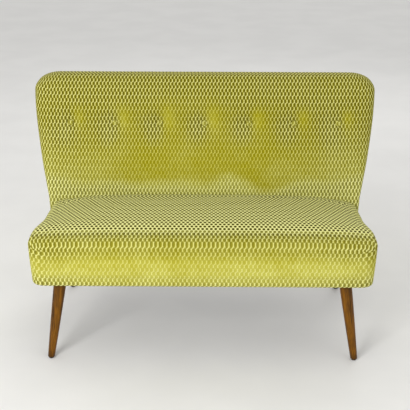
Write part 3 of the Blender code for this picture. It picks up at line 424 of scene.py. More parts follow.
@dataclass(frozen=True)
class Velvet(Finish):
    """Cut velvet in a stepped brick pattern, read from the piece's own cloth map.

    One mesh attribute paints light and sheen on the pile, and the "deep" attribute paints shade into its
    hollows.
    """

    period: float = PERIOD
    row: float = ROW
    pad_width: float = PAD_WIDTH
    relief_depth: float = 0.0009
    # shadow is the painted shade in the pile's hollows; pad_light and line_light are lit copies of the pad
    # and stroke tones, and lit is a painted highlight on the strokes.
    shadow: Tone = tone(72, 66, 0)
    pad: Tone = tone(160, 151, 8)
    pad_light: Tone = tone(199, 196, 94)
    line: Tone = tone(184, 177, 38)
    line_light: Tone = tone(232, 231, 150)
    lit: Tone = tone(236, 234, 160)
    cloud_size: float = 7.0
    cloud_share: float = 0.45
    own_share: float = 0.14
    specular: float = 0.10
    sheen: float = 0.15
    sheen_roughness: float = 0.30
    sheen_tint: Tone = tone(240, 240, 190)

    def feeds(self, g: Graph) -> dict[str, Feed]:
        """Returns the feeds of the velvet's material."""
        cloth = g.add("ShaderNodeUVMap", uv_map="cloth").outputs[0]
        motif = {"Cloth": cloth, "Period": self.period, "Row": self.row, "Pad": self.pad_width}
        pile = g.group(pile_group(), motif)
        deep = g.attribute("deep")
        # lie: painted light and sheen from the mesh, plus random tone in clouds and from cell to cell; it
        # picks between the plain and the lit tones.
        cloud = g.less(g.noise(g.object_place(), self.cloud_size, 2.0), 0.5)
        lie = g.math("MULTIPLY_ADD", cloud, self.cloud_share, g.attribute("nap"))
        lie = g.math("MULTIPLY_ADD", g.less(pile["Own"], 0.5), self.own_share, lie)
        lie = g.ramp(lie, 0.0, 1.0)
        # Painted shade: hollows darken with the mesh's deep value, on one side of each oval, and on the seat
        # top as dark dots over whole ovals.
        open_net = g.ramp(deep, 0.60, 0.96)
        hollow_shade = g.times(pile["Dark"], g.ramp(deep, 0.0, 0.62, 0.02, 0.86))
        hollow_shade = g.times(hollow_shade, g.less(1.0, open_net))
        hollow_shade = g.math("MAXIMUM", hollow_shade, g.times(pile["Core"], open_net))
        pads = g.mix(hollow_shade, g.mix(lie, self.pad, self.pad_light), self.shadow)
        # Strokes take a brighter tone, partly the pattern itself and partly painted highlight; lit adds more
        # painted highlight where the hollows are painted deep.
        net = g.math("MAXIMUM", pile["Stroke"], g.times(pile["Line"], open_net))
        colour = g.mix(net, pads, g.mix(lie, self.line, self.line_light))
        colour = g.mix(g.times(net, g.ramp(deep, 0.08, 0.62, 0.0, 0.60)), colour, self.lit)
        shade = g.ramp(pile["Fibres"], 0.25, 0.75, 0.90, 1.07)
        return {
            "Base Color": g.mix(1.0, colour, g.joined(shade, shade, shade), "MULTIPLY"),
            "Roughness": g.ramp(pile["Line"], 0.0, 1.0, 0.95, 0.78),
            "Specular IOR Level": self.specular,
            "Sheen Weight": self.sheen,
            "Sheen Roughness": self.sheen_roughness,
            "Sheen Tint": self.sheen_tint,
            "Normal": self.relief(g, pile["Height"], self.relief_depth),
        }


@dataclass(frozen=True)
class Timber(Finish):
    """Wood with grain along one axis, plain or under lacquer.

    Its grain follows the piece's place, or the mesh's attribute that "follows" names.
    """

    dark: Tone
    light: Tone
    roughness: float = 0.6
    uneven: float = 0.06
    gloss: float = 0.3
    coat: float = 0.0
    coat_roughness: float = 0.1
    turn: tuple[float, float, float] = (0.0, 0.0, 0.0)
    relief_depth: float = 0.0002
    streaks: float = 0.45
    follows: str = ""
    darkened_feet: bool = False

    def feeds(self, g: Graph) -> dict[str, Feed]:
        """Returns the feeds of the timber's material."""
        if self.follows:
            place = g.attribute(self.follows, "Vector")
        else:
            place = g.scaled(g.object_place(), (1.0, 1.0, 1.0), self.turn)
        grain = g.group(grain_group(), {"Place": place})
        bands = g.times(g.ramp(grain["Bands"], 0.3, 0.72), 1.0 - self.streaks)
        share = g.math("ADD", bands, g.times(g.ramp(grain["Lines"], 0.3, 0.7), self.streaks))
        colour = g.mix(share, self.dark, self.light)
        colour = g.mix(g.times(grain["Pores"], 0.55), colour, dimmed(self.dark, 0.35))
        # Darker towards the lower end, over its last four centimetres.
        if self.darkened_feet:
            foot = g.ramp(g.parts(g.object_place())[2], 0.004, 0.040, 0.55, 0.0)
            colour = g.mix(foot, colour, dimmed(self.dark, 0.5))
        smooth, rough = self.roughness - self.uneven, self.roughness + self.uneven
        return {
            "Base Color": colour,
            "Roughness": g.ramp(grain["Lines"], 0.2, 0.8, smooth, rough),
            "Specular IOR Level": self.gloss,
            "Coat Weight": self.coat,
            "Coat Roughness": self.coat_roughness,
            "Normal": self.relief(g, g.less(1.0, grain["Pores"]), self.relief_depth),
        }


@dataclass(frozen=True)
class Woven(Finish):
    """Plain woven cloth without pile."""

    thread: float
    colour: Tone
    shadow: Tone
    gap: float = 0.6
    roughness: float = 0.92
    sheen: float = 0.1

    def feeds(self, g: Graph) -> dict[str, Feed]:
        """Returns the feeds of the cloth's material."""
        weave = g.group(weave_group(), {"Place": g.object_place(), "Thread": self.thread})
        colour = g.mix(g.times(weave["Open"], self.gap), self.colour, self.shadow)
        return {
            "Base Color": g.mix(g.ramp(weave["Thick"], 0.3, 0.7, 0.0, 0.3), colour, self.shadow),
            "Roughness": self.roughness,
            "Sheen Weight": self.sheen,
            "Normal": self.relief(g, weave["Height"], self.thread * 0.4),
        }


@dataclass(frozen=True)
class Foam(Finish):
    """Open-cell cushion foam."""

    colour: Tone = tone(226, 214, 170)
    cell: float = 0.0016
    roughness: float = 0.95

    def feeds(self, g: Graph) -> dict[str, Feed]:
        """Returns the feeds of the foam's material."""
        where = {"Vector": g.object_place(), "Scale": 1 / self.cell}
        cells = g.add("ShaderNodeTexVoronoi", where).outputs["Distance"]
        # Each cell's middle is painted darker, as shade in the open pores.
        return {
            "Base Color": g.mix(g.ramp(cells, 0.1, 0.6), dimmed(self.colour, 0.55), self.colour),
            "Roughness": self.roughness,
            "Normal": self.relief(g, cells, self.cell * 0.3),
        }


@dataclass(frozen=True)
class Metal(Finish):
    """Plated or oiled metal with fine scratches and dull patches."""

    colour: Tone
    dull: Tone
    roughness: float = 0.35
    relief_depth: float = 0.00005

    def feeds(self, g: Graph) -> dict[str, Feed]:
        """Returns the feeds of the metal's material."""
        place = g.object_place()
        patches = g.ramp(g.noise(place, 160.0, 3.0), 0.42, 0.68)
        scratches = g.noise(g.stretched(place, 0.08), 1400.0, 2.0)
        rough = g.math("MULTIPLY_ADD", patches, 0.18, self.roughness - 0.06)
        return {
            "Base Color": g.mix(patches, self.colour, self.dull),
            "Roughness": g.math("MULTIPLY_ADD", scratches, 0.1, rough),
            "Metallic": 1.0,
            "Normal": self.relief(g, scratches, self.relief_depth),
        }


@dataclass(frozen=True)
class Floor(Finish):
    """Plain floor, faintly mottled."""

    colour: Tone
    roughness: float = 0.7

    def feeds(self, g: Graph) -> dict[str, Feed]:
        """Returns the feeds of the floor's material."""
        mottle = g.ramp(g.noise(g.object_place(), 3.0, 3.0), 0.3, 0.7)
        colour = g.mix(mottle, dimmed(self.colour, 0.96), self.colour)
        return {"Base Color": colour, "Roughness": self.roughness}


# Sheets that are drawn as a grid with a skirt round three sides


def cornered(inner: float, near: float, far: float, spacing: float, steps: int) -> tuple[list, list]:
    """Columns and rows of a grid with a rounded corner at each end of its first row.

    Args:
        inner: Half the straight stretch between the corners.
        near: Where the corners end and the straight sides start.
        far: Where the sides end.
        spacing: Largest gap of the grid.
        steps: How many columns and rows go through a corner.

    Returns:
        The columns as (x, share of the corner, side), and the rows as (place, share of the corner).
    """
    shares = [index / steps for index in range(1, steps + 1)]
    columns = [(-inner, share, -1) for share in reversed(shares)]
    columns += [(x, 0.0, 0) for x in spaced(-inner, inner, spacing)]
    columns += [(inner, share, 1) for share in shares]
    rows = [(near, share) for share in reversed(shares)]
    rows += [(place, 0.0) for place in spaced(near, far, spacing)]
    return columns, rows


@dataclass
class Sheet:
    """A grid of columns and rows with a skirt down three of its edges, all but the last row's.

    The grid is made by operators with whole numbers for places, and each point is then moved to where the
    piece's own form puts it.
    """

    columns: list[Column]
    rows: list[Row]
    steps: int
    bm: bmesh.types.BMesh = field(init=False)
    indices: dict[bmesh.types.BMVert, Index] = field(init=False)

    def __post_init__(self) -> None:
        """Makes the grid, its skirt and the layers that the finish reads."""
        last_column, last_row = len(self.columns) - 1, len(self.rows) - 1
        self.bm = bmesh.new()
        bmesh.ops.create_grid(self.bm, x_segments=last_column, y_segments=last_row, size=1)
        for vertex in self.bm.verts:
            vertex.co.x = round((vertex.co.x + 1) / 2 * last_column)
            vertex.co.y = round((vertex.co.y + 1) / 2 * last_row)
        edges = [
            edge
            for edge in self.bm.edges
            if edge.is_boundary and not all(v.co.y == last_row for v in edge.verts)
        ]
        for _ in range(self.steps):
            grown = bmesh.ops.extrude_edge_only(self.bm, edges=edges)["geom"]
            fresh = {item for item in grown if isinstance(item, bmesh.types.BMVert)}
            bmesh.ops.translate(self.bm, verts=list(fresh), vec=(0, 0, 1))
            found = [item for item in grown if isinstance(item, bmesh.types.BMEdge)]
            edges = [edge for edge in found if all(v in fresh for v in edge.verts)]
        self.bm.loops.layers.uv.new("cloth")
        self.bm.verts.layers.float.new("nap")
        self.bm.verts.layers.float.new("deep")
        bmesh.ops.recalc_face_normals(self.bm, faces=self.bm.faces)
        self.bm.verts.index_update()
        self.indices = {vertex: tuple(round(part) for part in vertex.co) for vertex in self.bm.verts}

    def place(self, where: Callable[[Index], Vector]) -> dict[Index, Vector]:
        """Moves each point to its place.

        Args:
            where: Place of an index.

        Returns:
            The places by index.
        """
        places = {index: where(index) for index in self.indices.values()}
        for vertex, index in self.indices.items():
            vertex.co = places[index]
        return places

    def map_cloth(self, cloth: Callable[[Index, Sequence[float]], tuple[float, float]]) -> None:
        """Writes the piece's cloth map.

        Args:
            cloth: Place on the flat cloth of a point, from its index and from the middle of its face's.
        """
        layer = self.bm.loops.layers.uv["cloth"]
        for face in self.bm.faces:
            around = [self.indices[loop.vert] for loop in face.loops]
            middle = tuple(sum(part) / len(around) for part in zip(*around))
            for loop, index in zip(face.loops, around):
                loop[layer].uv = cloth(index, middle)

    def face_out(self, inside: Vector) -> None:
        """Turns the faces away from a point inside the sheet."""
        self.bm.normal_update()
        face = max(self.bm.faces, key=lambda item: item.calc_area())
        if face.normal.dot(face.calc_center_median() - inside) < 0:
            bmesh.ops.reverse_faces(self.bm, faces=self.bm.faces)

    def paint_light_and_shade(self, value: Callable[[Vector, Index], tuple[float, float]]) -> None:
        """Writes the painted light and sheen on the pile at each point, and the painted shade in its hollows.

        Args:
            value: The two shares from a point's place and index.
        """
        layers = self.bm.verts.layers.float
        nap, deep = layers["nap"], layers["deep"]
        for vertex, index in self.indices.items():
            vertex[nap], vertex[deep] = value(vertex.co, index)


def publish(bm: bmesh.types.BMesh, name: str, sharp: float = 180) -> bpy.types.Object:
    """Makes a finished bmesh an object that sits at the origin.

    Args:
        bm: The shape, in its place.
        name: The piece's name.
        sharp: Edges over this many degrees stay sharp.

    Returns:
        The object.
    """
    mesh = bpy.data.meshes.new(name)
    bm.to_mesh(mesh)
    bm.free()
    mesh.shade_smooth()
    if sharp < 180:
        mesh.set_sharp_from_angle(angle=math.radians(sharp))
    obj = bpy.data.objects.new(name, mesh)
    bpy.context.scene.collection.objects.link(obj)
    return obj


def bind(obj: bpy.types.Object, slot: Slot, material: bpy.types.Material, *nodes: str) -> None:
    """Makes a piece ride on the settee and stand for its nodes.

    Args:
        obj: The piece.
        slot: Slot of the record that its finish comes from; not used.
        material: Its material.
        *nodes: The nodes that it replaces.
    """
    obj.data.materials.append(material)
    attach(obj, "root")
    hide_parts(*nodes)
    log.info("%s: %d faces, stands for %s", obj.name, len(obj.data.polygons), ", ".join(nodes))


def middle_of(node: str) -> Vector:
    """Returns the middle of a node's box."""
    return sum(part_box(node), Vector()) / 2


def corner_offset(
    across: float, along: float, reach_across: float, reach_along: float
) -> tuple[float, float]:
    """Place inside a rounded corner of a point of its square grid.

    Args:
        across: Share across the corner, from 0 to 1.
        along: Share along the corner, from 0 to 1.
        reach_across: The corner's size across.
        reach_along: The corner's size along.

    Returns:
        The place across and along, from the corner's inner point.
    """
    length = math.hypot(across, along)
    if length == 0:
        return 0.0, 0.0
    rounding = max(across, along) / length
    return across * rounding * reach_across, along * rounding * reach_along


@dataclass
class Padding:
    """Lets a padded cover settle under its filling's pressure, held along its hems and tufts."""

    pressure: float = 4.0
    frames: int = 20
    cap: float = 0.004
    quality: int = 4
    mass: float = 0.3
    stiffness: float = 25.0
    bending: float = 1.0

    def swell(self, obj: bpy.types.Object) -> list[Vector]:
        """Runs the cloth simulation.

        Args:
            obj: The cover, with a vertex group named held.

        Returns:
            The simulated place of each of its points.
        """
        cloth = obj.modifiers.new("filling", "CLOTH")
        settings = cloth.settings
        settings.quality = self.quality
        settings.mass = self.mass
        settings.tension_stiffness = self.stiffness
        settings.compression_stiffness = self.stiffness
        settings.shear_stiffness = self.stiffness / 2
        settings.bending_stiffness = self.bending
        settings.use_pressure = True
        settings.uniform_pressure_force = self.pressure
        settings.vertex_group_mass = "held"
        settings.effector_weights.gravity = 0
        cloth.point_cache.frame_start = 1
        cloth.point_cache.frame_end = self.frames
        scene = bpy.context.scene
        for number in range(1, self.frames + 1):
            scene.frame_set(number)
        shape = obj.evaluated_get(bpy.context.evaluated_depsgraph_get())
        places = [vertex.co.copy() for vertex in shape.data.vertices]
        obj.modifiers.remove(cloth)
        scene.frame_set(1)
        return places

    def settle(self, obj: bpy.types.Object, held: Callable[[Vector], float]) -> None:
        """Keeps the outward part of the simulated shape in the mesh, up to the cap.

        Args:
            obj: The cover, as a sheet with its faces out.
            held: How firmly a place is held, from 0 to 1.
        """
        group = obj.vertex_groups.new(name="held")
        start = [vertex.co.copy() for vertex in obj.data.vertices]
        holds = [min(max(held(place), 0.0), 1.0) for place in start]
        for index, hold in enumerate(holds):
            if hold > 0:
                group.add([index], hold, "REPLACE")
        ended = self.swell(obj)
        obj.vertex_groups.remove(group)
        outward = [vertex.normal.copy() for vertex in obj.data.vertices]
        for vertex, first, last, hold, normal in zip(obj.data.vertices, start, ended, holds, outward):
            move = last - first
            move -= normal * min(move.dot(normal), 0)
            if move.length > self.cap:
                move *= self.cap / move.length
            vertex.co = first + move * (1 - hold)


class Cover:
    """What the padded covers share: a sheet whose skirt rolls over, goes down the side and turns in."""

    piece: str
    cloth: float
    lip: float
    roll_steps: int
    side_steps: int
    turn_steps: int
    lip_steps: int
    measured_column = 0
    sheet: Sheet
    places: dict[Index, Vector]
    lengths: dict[Index, float]
    runs: list[float]

    def stages(self, step: int) -> tuple[float, float, float, float]:
        """How far a step of the skirt has come.

        Args:
            step: Steps down the skirt, from 0 at its rim.

        Returns:
            The angle over the roll, the share of the side, the angle of the turn after it and the cloth that
            lies in the lip after that.
        """
        past = step - self.roll_steps
        under = past - self.side_steps
        angle = min(step / self.roll_steps, 1) * QUARTER
        share = min(max(past, 0) / self.side_steps, 1)
        turn = min(max(under, 0) / self.turn_steps, 1) * QUARTER
        return angle, share, turn, max(under - self.turn_steps, 0) / self.lip_steps * self.lip

    def measure(self) -> None:
        """Works out each skirt point's cloth from the rim, and the cloth along the measured column."""
        self.lengths = {}
        for index in sorted(self.places, key=lambda item: item[2]):
            column, row, step = index
            above = (column, row, step - 1)
            if step == 0:
                self.lengths[index] = 0.0
            else:
                self.lengths[index] = self.lengths[above] + (self.places[index] - self.places[above]).length
        middle = len(self.sheet.columns) // 2 + self.measured_column
        self.runs = [0.0]
        for row in range(1, len(self.sheet.rows)):
            gap = (self.places[(middle, row, 0)] - self.places[(middle, row - 1, 0)]).length
            self.runs.append(self.runs[-1] + gap)

    def sweep(self, index: Index) -> float:
        """Returns the angle by which the rim has turned at a point, from along the first row to the side."""
        return math.atan2(self.sheet.columns[index[0]][1], self.sheet.rows[index[1]][1])

    def spread(self, index: Index) -> tuple[float, float]:
        """Returns how far a skirt point lies out from its rim point on the flat cloth, sideways and ahead."""
        side, angle, run = self.sheet.columns[index[0]][2], self.sweep(index), self.lengths[index]
        return side * math.sin(angle) * run, math.cos(angle) * run

    def build(self) -> bpy.types.Object:
        """Builds the cover from what its own class says of its form, its cloth map and its painted light and
        shade.

        Returns:
            The cover, settled and with its cloth's thickness.
        """
        columns, rows = self.lines()
        steps = self.roll_steps + self.side_steps + self.turn_steps + self.lip_steps
        self.sheet = Sheet(columns, rows, steps)
        self.places = self.sheet.place(self.point)
        self.measure()
        self.sheet.map_cloth(self.flat)
        self.sheet.face_out(self.inside())
        self.sheet.paint_light_and_shade(self.nap)
        cover = publish(self.sheet.bm, self.piece)
        Padding().settle(cover, self.held)
        thicken = cover.modifiers.new("cloth", "SOLIDIFY")
        thicken.thickness = self.cloth
        thicken.offset = -1
        thicken.use_rim = True
        return cover


# The seat


@dataclass
class SeatCover(Cover):
    """The seat's tight cover: one cloth over the top and its rolls, and a border round the sides."""

    half: float = 0.575
    cheek: float = 0.005
    depth: float = 0.450
    height: float = 0.469
    underside: float = 0.280
    front_roll: float = 0.020
    cheek_roll: float = 0.019
    side_roll: float = 0.045
    bottom_roll: float = 0.0165
    lip: float = 0.012
    corner_across: float = 0.048
    corner_along: float = 0.030
    peak_depth: float = 0.113
    front_fall: float = 0.0255
    rear_fall: float = 0.025
    cheek_fall: float = 0.007
    side_fall: float = 0.034
    cheek_reach: float = 0.30
    cheek_turn: float = 1.35
    cheek_power: float = 1.5
    rear_power: float = 1.6
    side_power: int = 4
    tuck_reach: float = 0.012
    tuck_depth: float = 0.004
    belly: float = 0.004
    cloth: float = 0.0022
    spacing: float = 0.0055
    roll_steps: int = 9
    side_steps: int = 20
    turn_steps: int = 5
    lip_steps: int = 2
    corner_steps: int = 7
    face_height: float = 0.14
    # Painted light and shade of the velvet: pale with painted sheen on top, darker at the front edge, lighter
    # down the front face; the deep values set the painted shade in the pile's hollows.
    top_light: tuple[float, float] = (0.90, 0.34)
    top_deep: tuple[float, float] = (1.0, 0.40)
    front_light: tuple[float, float] = (0.36, 0.62)
    light_rate: float = 1.3
    upper_deep: float = 0.30
    middle_deep: float = 0.03
    foot_deep: float = 0.34
    ends_deep: float = 0.13
    deep_rate: float = 2.2
    brow: Band = Band(0.020, 0.055)
    ends: Band = Band(0.32, 0.24)
    foot: Band = Band(0.55, 0.45)
    hem: Band = Band(0.0, 0.03)
    rear: Band = Band(-0.05, 0.04)
    finish: Velvet = Velvet(shadow=tone(62, 56, 0), lit=tone(244, 243, 172), sheen=0.07)

    piece = "seat_velvet"

    def lines(self) -> tuple[list[Column], list[Row]]:
        """Returns the grid's columns across the seat and its rows along its depth."""
        inner = self.half - self.corner_across
        return cornered(inner, self.corner_along, self.depth, self.spacing, self.corner_steps)

    def inside(self) -> Vector:
        """Returns a point inside the seat."""
        return Vector((0, FRONT_Y + self.depth / 2, self.underside))

    def rearward(self, depth: float) -> float:
        """Returns how far the full front cheeks have given way to the softer sides, from 0 to 1."""
        return eased(depth / self.cheek_reach)

    def crown(self, x: float, depth: float) -> float:
        """Returns the height of the seat's top at a place, before its edges roll over."""
        if depth < self.peak_depth:
            fall = self.front_fall * (1 - depth / self.peak_depth) ** 2
        else:
            share = (depth - self.peak_depth) / (self.depth - self.peak_depth)
            fall = self.rear_fall * share**self.rear_power
        side_fall = blend(self.cheek_fall, self.side_fall, self.rearward(depth))
        fall += side_fall * abs(x / self.half) ** self.side_power
        tuck = min(max((depth - self.depth + self.tuck_reach) / self.tuck_reach, 0.0), 1.0)
        return self.height - fall - self.tuck_depth * (1 - math.sqrt(1 - tuck * tuck))

    def point(self, index: Index) -> Vector:
        """Returns the place of a grid point."""
        line, corner_x, side = self.sheet.columns[index[0]]
        row_depth, corner_y = self.sheet.rows[index[1]]
        angle, share, turn, lip = self.stages(index[2])
        lie = 1 - math.sin(angle)
        under = self.bottom_roll * (1 - math.cos(turn)) + lip
        rearward = self.rearward(row_depth)
        side_roll = blend(self.cheek_roll, self.side_roll, rearward)
        cheek = self.cheek * (1 - rearward) * (1 - self.cheek_turn * share**self.cheek_power)
        reach = (
            self.corner_across - (side_roll * lie + under - cheek),
            self.corner_along - (self.front_roll * lie + under),
        )
        across, ahead = corner_offset(corner_x, corner_y, *reach)
        x = line + side * across
        depth = row_depth - ahead
        sideways = self.sweep(index) / QUARTER if side else 0.0
        roll = blend(self.front_roll, side_roll, sideways)
        top = self.crown(x, depth) - roll * (1 - math.cos(angle))
        level = blend(top, self.underside + self.bottom_roll, share) - self.bottom_roll * math.sin(turn)
        belly = self.belly * math.sin(math.pi * share) ** 2 * (1 - sideways)
        return Vector((x, FRONT_Y + depth - belly, level))

    def around(self, index: Index) -> float:
        """Returns how far round the border a skirt point lies, from the front's middle."""
        side = self.sheet.columns[index[0]][2]
        if side == 0:
            return self.places[(index[0], index[1], self.roll_steps)].x
        bend = self.sweep(index) * (self.corner_across + self.corner_along) / 2
        beyond = max(self.sheet.rows[index[1]][0] - self.corner_along, 0)
        return side * (self.half - self.corner_across + bend + beyond)

    def flat(self, index: Index, middle: Sequence[float]) -> tuple[float, float]:
        """Place of a point on the flat cloth.

        Args:
            index: The point.
            middle: The middle of its face, which is either on the cloth over the top or on the border.

        Returns:
            The place across the cloth and along it.
        """
        if middle[2] <= self.roll_steps:
            out, ahead = self.spread(index)
            return self.places[(index[0], index[1], 0)].x + out, self.runs[index[1]] - ahead
        centre = (len(self.sheet.columns) // 2, 0, self.roll_steps)
        level = self.places[centre].z
        height = self.places[index].z
        roll_end = self.places[(index[0], index[1], self.roll_steps)].z
        fade = max((height - self.underside) / (roll_end - self.underside), 0)
        in_front = 1 - self.sweep(index) / QUARTER if self.sheet.rows[index[1]][1] else 0.0
        droop = (level - roll_end) * fade * in_front
        lip = self.stages(index[2])[3]
        return self.around(index), height - level - self.lengths[centre] + droop - lip

    def nap(self, place: Vector, index: Index) -> tuple[float, float]:
        """Painted light and shade of the velvet at a point: painted sheen and dots of painted shade on top,
        darker at the front edge, lighter down the front face.

        Args:
            place: The point's place.
            index: The point.

        Returns:
            How much light and sheen is painted on the pile and how much shade into its hollows, from 0 to 1.
        """
        over = min(index[2] / self.roll_steps, 1)
        drop = (self.height - self.front_fall - self.front_roll - place.z) / self.face_height
        near = 1 - self.brow.at(place.y - FRONT_Y)
        front_light = blend(*self.front_light, eased(drop * self.light_rate))
        below_deep = blend(self.middle_deep, self.foot_deep, self.foot.at(drop))
        front_deep = blend(self.upper_deep, below_deep, eased(drop * self.deep_rate))
        front_deep += self.ends_deep * self.ends.at(abs(place.x))
        top_light, top_deep = blend(*self.top_light, near), blend(*self.top_deep, near)
        return blend(top_light, front_light, over), blend(top_deep, front_deep, over)

    def held(self, place: Vector) -> float:
        """Returns how firmly the cloth is held at a place: along the hems and the rear."""
        hem = 1 - self.hem.at(place.z - self.underside - self.bottom_roll)
        return max(hem, self.rear.at(place.y - FRONT_Y - self.depth))

    def dress(self, cover: bpy.types.Object) -> None:
        """Gives the cover its velvet and its place on the settee."""
        bind(cover, Slot.VELVET, self.finish.material("seat velvet"), "seat_cover")


# The back


@dataclass
class BackForm:
    """Form of the back that its cover, its outside and its buttons share."""

    half: float = 0.6305
    seat_half: float = 0.575
    foot: float = 0.280
    top: float = 0.860
    junction: float = 0.425
    flare_foot: float = 0.390
    front: float = 0.4503
    recline: float = 14.5
    top_roll: float = 0.040
    seam_roll: float = 0.012
    corner_width: float = 0.090
    corner_height: float = 0.055
    lumbar: float = 0.018
    shoulder: float = 0.010
    side_fall: float = 0.008
    outside_foot: float = 0.5585
    head_thickness: float = 0.095
    flare_power: float = 1.22
    bottom_roll: float = 0.0145
    buttons: int = 7
    button_level: float = 0.695
    button_margin: float = 0.1296
    button_ring: float = 0.09
    band: float = 0.012
    tuft_depth: float = 0.006
    tuft_reach: float = 0.050
    puff: float = 0.0060
    puff_side: Band = Band(0.035, 0.09)
    puff_foot: Band = Band(0.47, 0.13)
    puff_head: Band = Band(0.0, 0.07)
    dimple: float = 0.021
    crease: float = 0.0010
    crease_radius: float = 0.021
    crease_width: float = 0.011
    folds: tuple[tuple[float, int, float], ...] = ((1.0, 7, 1.7), (0.6, 4, -2.3))
    smoothing: float = 0.007

    def __post_init__(self) -> None:
        """Works out the levels that the sizes give."""
        self.slope = math.tan(math.radians(self.recline))
        self.roll_level = self.top - self.top_roll
        self.corner_level = self.top - self.corner_height
        head = self.front + self.slope * (self.roll_level - self.junction) + self.head_thickness
        self.outside_slope = (head - self.outside_foot) / (self.roll_level - self.foot)
        self.button_half = self.half_width(self.button_level) - self.button_margin
        self.button_gap = 2 * self.button_half / (self.buttons - 1)

    def half_width(self, level: float) -> float:
        """Returns half the back's width at a level: straight by the seat, flared above, rolled in below."""
        share = (level - self.flare_foot) / (self.corner_level - self.flare_foot)
        flare = math.sin(QUARTER * min(max(share, 0), 1)) ** self.flare_power
        half = self.seat_half + (self.half - self.seat_half) * flare
        turn_top = self.foot + self.bottom_roll
        beside = (level - turn_top) / (self.junction - turn_top)
        if 0 < beside < 1:
            half = max(half, blend(self.seat_half, self.half_width(self.junction), beside))
        under = turn_top - level
        if under > 0:
            half -= self.bottom_roll - math.sqrt(max(self.bottom_roll**2 - under**2, 0))
        return half

    def outside(self, level: float) -> float:
        """Returns the depth of the outside back at a level."""
        return self.outside_foot + self.outside_slope * (level - self.foot)

    def button_places(self) -> list[float]:
        """Returns where each button sits across the back."""
        return [-self.button_half + index * self.button_gap for index in range(self.buttons)]

    def from_buttons(self, x: float, level: float) -> list[tuple[float, float]]:
        """Returns how far a place lies across and above each button."""
        return [(x - place, level - self.button_level) for place in self.button_places()]

    def plain_face(self, x: float, level: float) -> float:
        """Depth of the inside back before its smoothing and its dimples.

        Args:
            x: Place across the back.
            level: Height over the floor.

        Returns:
            The depth.
        """
        rise = max(level - self.junction, 0)
        low, high = self.button_level - self.band, self.button_level + self.band
        swell = 0.0
        if self.junction < level < low:
            swell = self.lumbar * math.sin(math.pi * (level - self.junction) / (low - self.junction))
        elif high < level < self.roll_level:
            swell = self.shoulder * math.sin(math.pi * (level - high) / (self.roll_level - high))
        outward = min(abs(x) / self.half, 1) ** 4
        fall = self.side_fall * outward * eased(rise / (self.button_level - self.junction))
        reach = max(abs(level - self.button_level) - self.band, 0) / self.tuft_reach
        wave = math.cos(math.pi * (x + self.button_half) / self.button_gap) ** 2
        beside = eased(1 - (abs(x) - self.button_half) / self.button_gap)
        tuft = self.tuft_depth * wave * beside * max(1 - reach, 0)
        return self.front + rise * self.slope - swell * (1 - outward) + fall + tuft

    def puffed(self, x: float, level: float) -> float:
        """How far the filling swells out round the buttons, with the small creases that they pull.

        Args:
            x: Place across the back.
            level: Height over the floor.

        Returns:
            The swelling.
        """
        side = self.puff_side.at(self.half_width(level) - abs(x))
        rise = self.puff_foot.at(level) * self.puff_head.at(self.roll_level - level)
        swell, creases = 1.0, 0.0
        for number, (across, up) in enumerate(self.from_buttons(x, level)):
            gap = math.hypot(across, up)
            if gap > self.button_ring:
                continue
            swell *= 1 - math.exp(-((gap / self.dimple) ** 2))
            turn = math.atan2(up, across)
            wave = sum(share * math.cos(count * turn + shift * number) for share, count, shift in self.folds)
            creases += wave * math.exp(-(((gap - self.crease_radius) / self.crease_width) ** 2))
        return self.puff * swell * side * rise + self.crease * creases * side

    def face(self, x: float, level: float) -> float:
        """Returns the depth of the inside back, with its kinks eased by the filling."""
        shares = (1, 2, 3, 2, 1)
        steps = enumerate(shares, -(len(shares) // 2))
        near = [share * self.plain_face(x, level + step * self.smoothing) for step, share in steps]
        return sum(near) / sum(shares) - self.puffed(x, level)

    def edge_roll(self, level: float) -> float:
        """Returns the radius of the front edge: tight beside the seat, full above it."""
        share = eased((level - self.flare_foot) / (self.button_level - self.flare_foot))
        return blend(self.seam_roll, self.top_roll, share)

    def lines(self, spacing: float, steps: int) -> tuple[list[Column], list[Row]]:
        """Returns a grid's columns across the back and its rows down from the top."""
        return cornered(self.half - self.corner_width, self.corner_level, self.foot, spacing, steps)

    def placed(self, column: Column, row: Row, inset: float) -> tuple[float, float]:
        """Place of a grid point in the back's outline.

        Args:
            column: The point's column.
            row: The point's row.
            inset: How far the grid's edge lies inside the outline.

        Returns:
            The place across the back and the level.
        """
        line, corner_x, side = column
        reach = (self.corner_width - inset, self.corner_height - inset)
        across, up = corner_offset(corner_x, row[1], *reach)
        level = row[0] + up
        return (line + side * across) * ((self.half_width(level) - inset) / (self.half - inset)), level


@dataclass(frozen=True)
class Patch:
    """A soft patch of painted light and shade beside each button, placed from the button's middle."""

    across: float
    up: float
    tallness: float
    reach: float

    def at(self, across: float, up: float) -> float:
        """Returns how strong the patch is at a place counted from the button."""
        gap = math.hypot(across - self.across, (up - self.up) * self.tallness)
        return math.exp(-((gap / self.reach) ** 2))


@dataclass(frozen=True)
class PaintedLightShares:
    """What each part of the back adds to one of the two painted values: light and sheen on the pile, and
    shade in its hollows.
    """

    plain: float
    foot: float
    low: float
    low_sides: float
    sides: float
    head: float
    halo: float
    calm: float


